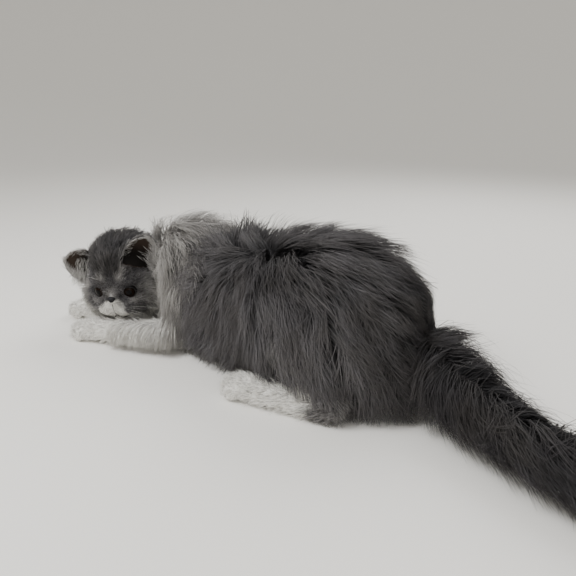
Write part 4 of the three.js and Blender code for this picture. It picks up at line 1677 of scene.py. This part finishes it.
@dataclass
class Skin:
    """The one skin over the flesh: every form joined, remeshed as one surface and smoothed."""

    voxel: float = 1.8
    shrink: float = -1.2
    egg_shrink: float = -1.0

    def build(self, placing: Placing) -> bpy.types.Object:
        """Builds the skin.

        Args:
            placing: turns millimetres into the frame's metres.

        Returns:
            The skin as one closed mesh.
        """
        forms = [
            TORSO.rings(90, 96, SKIN_DEEP),
            NECK.rings(50, 80, SKIN_DEEP),
            TAIL.rings(120, 40, SKIN_DEEP),
            HEAD.rings(90, 96, HEAD_SKIN_DEEP),
        ]
        legs = (*FORELEGS.values(), *SHANKS.values(), *SOLES.values())
        forms += [leg.rings(60, 32, 0, self.shrink) for leg in legs]
        b, a = grid(np.linspace(-QUARTER + 0.05, QUARTER - 0.05, 15), angles_round(24))
        forms += [egg.point(a, b, self.egg_shrink) for lumps in PAWS.values() for egg in lumps]
        forms += [ear.rings() for ear in EARS.values()]
        points, faces, count = [], [], 0
        for rings in forms:
            p, f = tube(rings)
            points.append(p)
            faces += [[i + count for i in face] for face in f]
            count += len(p)
        body = mesh_object("skin_form", np.vstack(points), faces, placing)
        turn_out(body)
        remesh = body.modifiers.new("one_surface", "REMESH")
        remesh.mode = "VOXEL"
        remesh.voxel_size = self.voxel * MM
        remesh.use_smooth_shade = True
        soften = body.modifiers.new("soften", "SMOOTH")
        soften.factor = 0.5
        soften.iterations = 2
        skin = applied(body, "skin")
        self.open_sockets(skin, placing)
        self.line_ears(skin, placing)
        return skin

    @staticmethod
    def points_of(skin: bpy.types.Object, placing: Placing) -> Array:
        """The skin's points.

        Args:
            skin: the skin.
            placing: turns metres back into millimetres.

        Returns:
            The points in the cat's millimetres.
        """
        points = np.empty(len(skin.data.vertices) * 3)
        skin.data.vertices.foreach_get("co", points)
        return placing.millimetres(points.reshape(-1, 3))

    def open_sockets(self, skin: bpy.types.Object, placing: Placing) -> None:
        """Draws the skin over each eyeball back into it, so that the lids part.

        Args:
            skin: the skin, which is changed.
            placing: turns millimetres into the frame's metres.
        """
        points = self.points_of(skin, placing)
        inner, outer = EYE_RADIUS - 1.2, EYE_RADIUS + 0.5
        for side in Side:
            away = points - HEAD.eye(side)
            far = np.linalg.norm(away, axis=1, keepdims=True)
            drawn = HEAD.eye(side) + away * inner / np.maximum(far, 1e-6)
            points = np.where((far < outer) & (far > inner), drawn, points)
        skin.data.vertices.foreach_set("co", placing.metres(points).ravel())
        skin.data.update()

    def line_ears(self, skin: bpy.types.Object, placing: Placing) -> None:
        """Marks the bare lining of the ears, from 0.4 near the rim to 1 in the canal, which is darkened
        with painted shade.

        Args:
            skin: the skin, which is marked.
            placing: turns millimetres into the frame's metres.
        """
        points = self.points_of(skin, placing)
        lining = np.zeros(len(points))
        rows, columns, reach, near = 24, 17, 40, 3.0
        v = np.repeat(np.linspace(-0.1, 0.92, rows), columns)
        for ear in EARS.values():
            w = ear.fore * np.tile(np.linspace(-0.98, 0.8, columns), rows)
            half = ear.thick / 2
            tree = tree_of(np.vstack([ear.point(v, w, -half), ear.point(v, w, half)]))
            middle = ear.point(np.array(0.4), np.array(0.0), 0.0)
            inside = ear.within(points)
            for i in np.flatnonzero(np.linalg.norm(points - middle, axis=1) < reach):
                _, found, far = tree.find(Vector(points[i]))
                if inside[i] or (found < len(v) and far < near):
                    lining[i] = 1.0 - 0.6 * smooth(v[found % len(v)], 0.35, 0.95)
        store(skin.data, "lining", lining)

    @staticmethod
    def mark(skin: bpy.types.Object, tufts: Tufts, placing: Placing) -> None:
        """Gives each point of the skin the markings of the nearest tuft's root.

        Args:
            skin: the skin.
            tufts: the roots.
            placing: turns millimetres into the frame's metres.
        """
        tree = tree_of(placing.metres(tufts.path[:, 0]))
        nearest = np.array([tree.find(v.co)[1] for v in skin.data.vertices])
        store(skin.data, "marks", tufts.marks[nearest])


class Nodes:
    """A material's node tree, with one way to add a node."""

    def __init__(self, name: str) -> None:
        """Starts an empty material.

        Args:
            name: its name.
        """
        self.material = bpy.data.materials.new(name)
        self.material.use_nodes = True
        self.tree = self.material.node_tree
        self.tree.nodes.clear()

    def add(self, kind: str, links: dict | None = None, **settings: object) -> bpy.types.Node:
        """Adds a node.

        Args:
            kind: the node's type name.
            links: for each input, by name or number, the output socket or the value that it takes.
            settings: properties of the node.

        Returns:
            The node.
        """
        node = self.tree.nodes.new(kind)
        for key, value in settings.items():
            setattr(node, key, value)
        for key, value in (links or {}).items():
            if isinstance(value, bpy.types.NodeSocket):
                self.tree.links.new(value, node.inputs[key])
            else:
                node.inputs[key].default_value = value
        return node

    def mix(self, factor: object, first: object, second: object) -> bpy.types.NodeSocket:
        """A mix of two colours."""
        return self.add("ShaderNodeMix", {0: factor, 6: first, 7: second}, data_type="RGBA").outputs[2]

    def maths(self, operation: str, *values: object) -> bpy.types.NodeSocket:
        """A sum, product or other operation of numbers."""
        return self.add("ShaderNodeMath", dict(enumerate(values)), operation=operation).outputs[0]

    def total(self, *weighed: tuple[object, float]) -> bpy.types.NodeSocket:
        """The sum of values, each times its weight.

        Args:
            weighed: pairs of a value and its weight.

        Returns:
            The sum.
        """
        first, *others = [self.maths("MULTIPLY", value, weight) for value, weight in weighed]
        for other in others:
            first = self.maths("ADD", first, other)
        return first

    def span(
        self, value: object, low: float, high: float, start: float = 0.0, end: float = 1.0
    ) -> bpy.types.NodeSocket:
        """A value mapped from low..high to start..end, held at both ends."""
        links = {0: value, 1: low, 2: high, 3: start, 4: end}
        return self.add("ShaderNodeMapRange", links, interpolation_type="SMOOTHSTEP").outputs[0]

    def grain(self, kind: str, size: float, **inputs: float) -> bpy.types.NodeSocket:
        """A texture whose grains are about so many millimetres wide."""
        place = self.add("ShaderNodeTexCoord").outputs["Object"]
        return self.add(kind, {"Vector": place, "Scale": 1 / (size * MM), **inputs}).outputs[0]

    def relief(self, height: bpy.types.NodeSocket, strength: float, deep: float) -> bpy.types.NodeSocket:
        """A normal bent by a height, so many millimetres deep."""
        links = {"Height": height, "Strength": strength, "Distance": deep * MM}
        return self.add("ShaderNodeBump", links).outputs[0]

    def finish(self, **inputs: object) -> bpy.types.Material:
        """Ends the tree in a surface.

        Args:
            inputs: those of the shader that are set, with _ for a space.

        Returns:
            The material.
        """
        links = {key.replace("_", " "): value for key, value in inputs.items()}
        shader = self.add("ShaderNodeBsdfPrincipled", links)
        self.add("ShaderNodeOutputMaterial", {0: shader.outputs[0]})
        return self.material


@dataclass(frozen=True)
class CoatFinish:
    """Blue-grey and white cat hair: fine keratin fibres with a paler tip and a dull sheen.

    Towards the root the colour darkens to near black: painted shade of the depth of the coat, so that the
    gaps between locks are nearly black. Seen close, each lock has its own depth of grey.
    """

    # Painted shade: the near-black colour towards the root of the hair stands for the shade deep in the
    # coat and between locks.
    root: str = "#151416"
    grey: str = "#403f41"
    tip: str = "#716e70"
    dark: str = "#1b191b"
    dark_tip: str = "#3b383a"
    pale: str = "#a8a5a1"
    white: str = "#eceae4"
    # Painted shade: the grey at the root of white hair, for the same shade deep in the coat.
    white_root_shade: str = "#8f8c89"
    warm: str = "#4c4740"
    mottle: float = 26.0
    roughness: float = 0.62

    def colour(self, nodes: Nodes, length: object, own: object, lock: object) -> bpy.types.NodeSocket:
        """The coat's colour from its markings.

        Args:
            nodes: the tree to add to.
            length: place along the hair, 0 at the root.
            own: a random number of the hair.
            lock: a random number of its lock.

        Returns:
            The colour's socket.
        """
        marks = nodes.add("ShaderNodeAttribute", attribute_name="marks").outputs["Vector"]
        split = nodes.add("ShaderNodeSeparateXYZ", {0: marks}).outputs
        blotch = nodes.span(nodes.grain("ShaderNodeTexNoise", self.mottle, Detail=3.0), 0.35, 0.65)
        tone = nodes.total((length, 0.5), (lock, 0.28), (own, 0.22))
        grey = nodes.mix(nodes.span(tone, 0.15, 0.95), linear(self.grey), linear(self.tip))
        dark = nodes.mix(nodes.span(tone, 0.2, 1.0), linear(self.dark), linear(self.dark_tip))
        coat = nodes.mix(split[2], grey, dark)
        coat = nodes.mix(nodes.maths("MULTIPLY", blotch, 0.22), coat, linear(self.warm))
        uneven = nodes.span(nodes.maths("ADD", lock, own), 0.1, 1.2, 0.55, 1.0)
        coat = nodes.mix(nodes.maths("MULTIPLY", split[1], uneven), coat, linear(self.pale))
        # Painted shade: towards the root the colour darkens to near black, less on pale hair.
        shade = nodes.span(length, 0.0, 0.55, 1.0, 0.0)
        shade = nodes.maths("MULTIPLY", shade, nodes.span(split[1], 0.0, 1.0, 1.0, 0.3))
        coat = nodes.mix(shade, coat, linear(self.root))
        # Painted shade on white hair too: grey at the root, white towards the tip, varied by lock and hair.
        fair = nodes.total((length, 0.9), (lock, 0.3), (own, 0.3))
        white = nodes.mix(nodes.span(fair, 0.1, 0.8), linear(self.white_root_shade), linear(self.white))
        return nodes.mix(nodes.span(split[0], 0.05, 0.85), coat, white)

    def build(self) -> bpy.types.Material:
        """The material of the tufts.

        Returns:
            The material.
        """
        nodes = Nodes("cat_hair")
        strand = nodes.add("ShaderNodeAttribute", attribute_name="strand").outputs["Vector"]
        split = nodes.add("ShaderNodeSeparateXYZ", {0: strand}).outputs
        colour = self.colour(nodes, split[0], split[1], split[2])
        return nodes.finish(Base_Color=colour, Roughness=self.roughness, IOR=1.55, Specular_IOR_Level=0.35)


@dataclass(frozen=True)
class SkinFinish:
    """Underfur lying flat on the skin: dull, dense and finely ribbed, in the coat's own colours."""

    coat: CoatFinish = CoatFinish()
    lining: str = "#2e241d"
    # Painted shade: near black deep in the ear, towards the canal; the lining above it is the bare skin's
    # own brown.
    canal: str = "#0c0806"
    rib: float = 0.8

    def build(self) -> bpy.types.Material:
        """The material of the skin.

        Returns:
            The material.
        """
        nodes = Nodes("underfur")
        fine = nodes.grain("ShaderNodeTexNoise", self.rib, Detail=2.0)
        # Painted shade: the underfur takes the coat's colours near the root, where they are darkened as
        # deep in the coat.
        length = nodes.span(fine, 0.3, 0.7, 0.2, 0.45)
        colour = self.coat.colour(nodes, length, fine, 0.5)
        lining = nodes.add("ShaderNodeAttribute", attribute_name="lining").outputs["Fac"]
        # The ear lining's brown, darkened with painted shade towards the canal.
        bare = nodes.mix(nodes.span(lining, 0.4, 1.0), linear(self.lining), linear(self.canal))
        colour = nodes.mix(nodes.span(lining, 0.1, 0.4), colour, bare)
        normal = nodes.relief(fine, 0.4, 0.3)
        return nodes.finish(Base_Color=colour, Roughness=0.8, Normal=normal, Specular_IOR_Level=0.2)


@dataclass(frozen=True)
class EyeFinish:
    """A wet cornea over a dark brown iris and a wide pupil: almost black, with a sharp gloss."""

    pupil: str = "#040303"
    iris: str = "#150d08"
    rim: str = "#080504"

    def build(self) -> bpy.types.Material:
        """The material of the eyes, by the angle from the pupil's middle.

        Returns:
            The material.
        """
        nodes = Nodes("wet_eye")
        ring = nodes.add("ShaderNodeAttribute", attribute_name="ring").outputs["Fac"]
        colour = nodes.mix(nodes.span(ring, 0.34, 0.4), linear(self.pupil), linear(self.iris))
        colour = nodes.mix(nodes.span(ring, 0.62, 0.74), colour, linear(self.rim))
        return nodes.finish(Base_Color=colour, Roughness=0.06, IOR=1.38, Specular_IOR_Level=0.14)


@dataclass(frozen=True)
class LeatherFinish:
    """Bare moist skin of the nose and lid rims: dark, finely pebbled and a little glossy."""

    name: str
    colour: str
    light: str
    grain: float = 0.5
    roughness: float = 0.55

    def build(self) -> bpy.types.Material:
        """The material of the bare skin.

        Returns:
            The material.
        """
        nodes = Nodes(self.name)
        pebbles = nodes.grain("ShaderNodeTexVoronoi", self.grain)
        colour = nodes.mix(nodes.span(pebbles, 0.1, 0.7), linear(self.light), linear(self.colour))
        normal = nodes.relief(pebbles, 0.35, 0.15)
        look = {"Roughness": self.roughness, "Specular_IOR_Level": 0.25}
        return nodes.finish(Base_Color=colour, Normal=normal, **look)


@dataclass(frozen=True)
class PlainFinish:
    """Matt paper sweep of a studio floor."""

    name: str
    colour: str
    roughness: float = 0.9

    def build(self) -> bpy.types.Material:
        """The material."""
        return Nodes(self.name).finish(Base_Color=linear(self.colour), Roughness=self.roughness)


def dress(piece: bpy.types.Object, material: bpy.types.Material) -> bpy.types.Object:
    """Gives a piece its one material, and sets it to ride on the still model.

    Args:
        piece: the object.
        material: its material.

    Returns:
        The piece.
    """
    piece.data.materials.clear()
    piece.data.materials.append(material)
    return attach(piece, "root")


@dataclass
class Face:
    """The bare parts of the face: eyes, lid rims, nose leather and the line of the mouth."""

    placing: Placing

    def eye(self, side: Side) -> bpy.types.Object:
        """An eyeball with a slightly raised cornea, and how far each point is from the pupil's middle.

        Args:
            side: which eye.

        Returns:
            The eyeball.
        """
        centre, gaze = HEAD.eye(side), unit(HEAD.gaze(side))
        b, a = grid(np.linspace(0.01, math.pi - 0.01, 33), angles_round(48))
        across = unit(np.cross(gaze, [0, 0, 1.0]))
        up = np.cross(across, gaze)
        radius = EYE_RADIUS - 0.25 + 0.35 * np.exp(-((b / 0.6) ** 2))
        round_gaze = np.cos(a)[..., None] * across + np.sin(a)[..., None] * up
        way = np.cos(b)[..., None] * gaze + np.sin(b)[..., None] * round_gaze
        eye = lofted(f"eyeball_{side.name.lower()}", centre + radius[..., None] * way, self.placing)
        store(eye.data, "ring", np.concatenate([b.ravel(), [0.0, math.pi]]))
        return eye

    def lid(self, side: Side) -> bpy.types.Object:
        """The dark rim of an eye's lids, drawn out to a point towards the nose.

        Args:
            side: which eye.

        Returns:
            The rim.
        """
        rows = []
        steps, sides, thick = 64, 10, 0.75
        half_wide, half_tall, corner = 7.0, 6.2, 2.6
        splay = math.radians(EYE_SPLAY)
        for i in range(steps + 1):
            a = 2 * math.pi * i / steps
            inner = max(0.0, -math.cos(a)) ** 3 * corner
            out, up = math.cos(a) * half_wide - inner, math.sin(a) * half_tall - inner * 0.6
            deep = math.sqrt(max(EYE_RADIUS**2 - out**2 - up**2, 10.0))
            front = EYE_AT[0] + deep * math.cos(splay) - out * math.sin(splay)
            left = EYE_AT[1] + out * math.cos(splay) + deep * math.sin(splay)
            rows.append(HEAD.place([front, -side.value * left, EYE_AT[2] + up]))
        return self.rod(f"lid_{side.name.lower()}", np.array(rows), thick, sides)

    def rod(self, name: str, line: Array, radius: float, sides: int) -> bpy.types.Object:
        """A round rod along a line of points.

        Args:
            name: the piece's name.
            line: the points.
            radius: in millimetres.
            sides: points round it.

        Returns:
            The rod.
        """
        along = unit(np.gradient(line, axis=0))
        out = unit(line - np.array(HEAD_AT))
        across = unit(np.cross(along, out))
        up = np.cross(across, along)
        a = angles_round(sides)[None, :, None]
        rings = line[:, None] + radius * (np.cos(a) * across[:, None] + np.sin(a) * up[:, None])
        return lofted(name, rings, self.placing)

    def nose(self) -> bpy.types.Object:
        """The heart-shaped nose leather, hollowed at the nostrils and parted in the middle.

        Returns:
            The nose.
        """
        front, up = HEAD.nose()
        half_wide, half_tall, half_deep = 4.1, 3.4, 3.3
        b, a = grid(np.linspace(0.02, math.pi - 0.02, 41), angles_round(64))
        x, y, z = np.cos(b), np.sin(b) * np.cos(a), np.sin(b) * np.sin(a)
        side = y * half_wide * (1 + 0.4 * z)
        tall = z * half_tall
        deep = x * half_deep
        for s in (1, -1):
            curl = np.hypot((side - s * (2.3 + 0.3 * tall)) / 1.2, (tall + 0.5) / 0.9)
            deep = deep - 1.5 * np.exp(-(curl**2)) * (x > 0)
        deep = deep - 0.7 * np.exp(-((side / 0.5) ** 2)) * (x > 0) * (tall < 1)
        points = HEAD.place(np.stack([front + deep, side, up + tall], -1))
        return lofted("nose_leather", points, self.placing)

    def mouth(self) -> list[bpy.types.Object]:
        """The line from the nose down, and the lips to each side.

        Returns:
            The three pieces.
        """
        keys = [(0, -31), (4, -35.5), (9, -38.5), (15, -40), (22, -39), (28, -36), (33, -32)]
        lift, count = 0.9, range(len(keys))
        down = np.array([HEAD.on_face(0, above, lift) for above in np.linspace(-9, -31, 12)])
        pieces = [self.rod("philtrum", down, 0.35, 6)]
        u = np.linspace(0, len(keys) - 1, 28)
        for side in Side:
            across = np.interp(u, count, [k[0] for k in keys]) * -side.value
            above = np.interp(u, count, [k[1] for k in keys])
            line = np.array([HEAD.on_face(x, y, lift) for x, y in zip(across, above)])
            pieces.append(self.rod(f"lip_{side.name.lower()}", line, 0.5, 6))
        return pieces


@dataclass
class Whiskers:
    """Long stiff white whiskers of the muzzle and brows."""

    placing: Placing
    seed: int = 5
    width: float = 0.18

    def build(self) -> bpy.types.Object:
        """All whiskers as one mesh of thin tapered rods.

        Returns:
            The mesh object.
        """
        rng = np.random.default_rng(self.seed)
        path, outward = [], []
        steps, sunk = 9, -0.5
        t = np.linspace(0, 1, steps)[:, None]
        for s in (1, -1):
            for row in range(3):
                for k in range(3):
                    root = HEAD.on_face(s * (14 + 5 * k), -16 - 5 * row, sunk)
                    rise = 0.12 - 0.16 * row + rng.normal(0, 0.05)
                    d = unit(np.array([0.35 - 0.1 * k, s * (0.8 + 0.1 * k), rise])) @ HEAD.turn.T
                    long = rng.uniform(20, 34)
                    droop = np.array([0, 0, -1.0]) * rng.uniform(4, 9)
                    back = HEAD.turn @ np.array([-1.0, 0, 0]) * rng.uniform(5, 10)
                    path.append(root + d * long * t + (droop + back) * t**2)
                    outward.append(np.repeat(unit(root - np.array(HEAD_AT))[None], steps, 0))
            for k in range(2):
                root = HEAD.on_face(s * (20 + 4 * k), 26, sunk)
                d = unit(np.array([0.7, s * 0.5, 0.8])) @ HEAD.turn.T
                path.append(root + d * 13 * t + np.array([0, 0, -2.0]) * t**2)
                outward.append(np.repeat(unit(root - np.array(HEAD_AT))[None], steps, 0))
        n = len(path)
        tufts = Tufts(
            np.array(path),
            np.array(outward),
            np.full(n, self.width),
            np.tile([1.0, 0.0, 0.0], (n, 1)),
            np.full((n, 2), 0.5),
            Patch(0.9, 0.3, 0.05, 0.05).at(rng.random(n), rng.random(n)),
        )
        return Strands().mesh("whiskers", tufts, self.placing)


@dataclass
class Studio:
    """The pale floor that sweeps up far away on all sides, soft lights and the photograph's camera."""

    flat: float = 2000.0
    sweep: float = 3000.0
    air: float = 0.72

    def build(self, placing: Placing) -> None:
        """Sets up the studio round the cat.

        Args:
            placing: turns millimetres into the frame's metres.
        """
        turn = np.radians(np.concatenate([np.zeros(6), np.linspace(5, 80, 16)]))
        radius = np.concatenate([np.linspace(50, self.flat, 6), self.flat + self.sweep * np.sin(turn[6:])])
        height = self.sweep * (1 - np.cos(turn))
        a = angles_round(96)
        out, high = radius[:, None], height[:, None]
        points, faces = tube(np.stack([out * np.cos(a), out * np.sin(a), high + 0 * a], -1))
        last = len(points) - 1
        floor = mesh_object("floor", points, [f for f in faces if last not in f], placing)
        floor.data.materials.append(PlainFinish("paper_sweep", "#f1efea").build())
        world = bpy.data.worlds.new("studio_air")
        world.use_nodes = True
        air = world.node_tree.nodes["Background"]
        air.inputs[0].default_value = linear("#eceae6")
        air.inputs[1].default_value = self.air
        bpy.context.scene.world = world
        for name, place, size, power in (
            ("key", (-450, -800, 1200), 0.8, 20.0),
            ("fill", (800, -900, 700), 1.2, 4.0),
            ("back", (100, 900, 1000), 1.0, 9.0),
        ):
            light = bpy.data.lights.new(name, "AREA")
            light.size = size
            light.energy = power
            at, to = (Vector(placing.metres(np.array(p, float))) for p in (place, (-60, 0, 60)))
            self.aim(linked(name, light), at, to - at)
        self.camera(placing)

    @staticmethod
    def aim(thing: bpy.types.Object, at: Vector, way: Vector) -> None:
        """Puts a lamp or camera at a place, looking along a way."""
        thing.matrix_world = Matrix.Translation(at) @ way.to_track_quat("-Z", "Y").to_matrix().to_4x4()

    def camera(self, placing: Placing) -> None:
        """The photograph's camera.

        Args:
            placing: turns millimetres into the frame's metres.
        """
        data = bpy.data.cameras.new("photo_camera")
        data.lens = CAMERA_LENS
        data.sensor_width = CAMERA_SENSOR
        data.clip_start = 0.01
        camera = linked("photo_camera", data)
        pitch = math.radians(CAMERA_PITCH)
        x, y = CAMERA_HEADING
        way = Vector((x * math.cos(pitch), y * math.cos(pitch), -math.sin(pitch)))
        self.aim(camera, Vector(placing.metres(np.array(CAMERA_AT))), way)
        bpy.context.scene.camera = camera


@dataclass
class Coat:
    """The whole coat, grown by region, kept where it leaves the skin, and made in pieces."""

    placing: Placing
    most_faces: int = 195000
    root_gap: float = 4.5

    def regions(self, tree: BVHTree) -> dict[str, tuple[object, str]]:
        """The growers of each region and their material slots.

        Args:
            tree: the skin, for the hair that is rooted by search.

        Returns:
            Pairs by the region's name.
        """
        trunk = Patch(0.02, 0.42, 0.96, 0.24)
        ruff = Patch(0.02, 0.68, 0.4, 0.14)
        plume = Patch(0.44, 0.68, 0.36, 0.14)
        bib = Patch(0.82, 0.68, 0.16, 0.14)
        return {
            "trunk": (TrunkCoat(TORSO, trunk, 32500, 11, (0.03, 1.0), (-2.3, 2.3)), "coat_grey"),
            "ruff": (NeckCoat(NECK, ruff, 13500, 23, (0.0, 0.9), (-2.5, 2.5), 44.0), "coat_pale"),
            "plume": (TailCoat(TAIL, plume, 9000, 29, (0.0, 0.99), (-3.1, 3.1), 46.0), "coat_grey"),
            "bib": (BibCoat(bib, tree, self.placing), "coat_white"),
            "head": (HeadCoat(Patch(0.02, 0.84, 0.5, 0.14)), "coat_grey"),
            "legs": (LegCoat(), "coat_white"),
            "ears": (EarCoat(), "ear"),
        }

    def build(self, skin: bpy.types.Object, material: bpy.types.Material) -> Tufts:
        """Grows and makes every region.

        Args:
            skin: the skin that the roots stand on.
            material: the hair's material.

        Returns:
            All tufts' roots and markings, with paths cut to one point.
        """
        tree = BVHTree.FromObject(skin, bpy.context.evaluated_depsgraph_get())
        maker = Strands()
        gap = self.root_gap * MM
        roots = []
        for name, (region, slot) in self.regions(tree).items():
            tufts = region.grow()
            starts = self.placing.metres(tufts.path[:, 0])
            tufts = tufts.kept(np.array([tree.find_nearest(Vector(p), gap)[0] is not None for p in starts]))
            faces = 6 * (tufts.path.shape[1] - 2) + 3
            order = np.argsort(tufts.path[:, 0, 0], kind="stable")
            chunks = max(math.ceil(len(order) / (self.most_faces // faces)), 1)
            for i, part in enumerate(np.array_split(order, chunks)):
                piece = maker.mesh(f"coat_{name}_{i + 1}", tufts.kept(part), self.placing)
                dress(piece, material)
                log.info("%s: %d tufts, %d triangles", piece.name, len(part), len(part) * faces)
            roots.append(Tufts(tufts.path[:, :1], tufts.outward[:, :1], *tufts.parts()[2:]))
        return Tufts.of(roots)


# The solids that the skin takes the place of.
FLESH = (
    "head",
    "neck",
    "torso",
    "tail_base",
    "tail_middle",
    "tail_tip",
    "ear_left",
    "ear_right",
    "foreleg_left",
    "foreleg_right",
    "hind_leg_left",
    "hind_leg_right",
)


def main() -> None:
    """Builds the cat in order: skin, coat, face, whiskers and studio."""
    logging.basicConfig(level=logging.INFO, format="%(message)s")
    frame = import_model()
    log.info("frame with %d nodes", len(frame["nodes"]))
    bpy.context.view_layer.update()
    placing = Placing()
    Studio().build(placing)
    skin = Skin().build(placing)
    log.info("skin: %d faces", len(skin.data.polygons))
    coat = Coat(placing)
    hair = CoatFinish().build()
    roots = coat.build(skin, hair)
    Skin.mark(skin, roots, placing)
    dress(skin, SkinFinish().build())
    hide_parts(*FLESH)
    face = Face(placing)
    wet = EyeFinish().build()
    rim = LeatherFinish("lid_rim", "#0c0a0b", "#1c181a", 0.4, 0.3).build()
    for side in Side:
        eye = dress(face.eye(side), wet)
        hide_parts(f"eye_{side.name.lower()}")
        dress(face.lid(side), rim)
    nose = dress(face.nose(), LeatherFinish("nose_skin", "#0d0d10", "#1a191d").build())
    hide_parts("nose")
    for piece in face.mouth():
        dress(piece, rim)
    dress(Whiskers(placing).build(), hair)


if __name__ == "__main__":
    main()
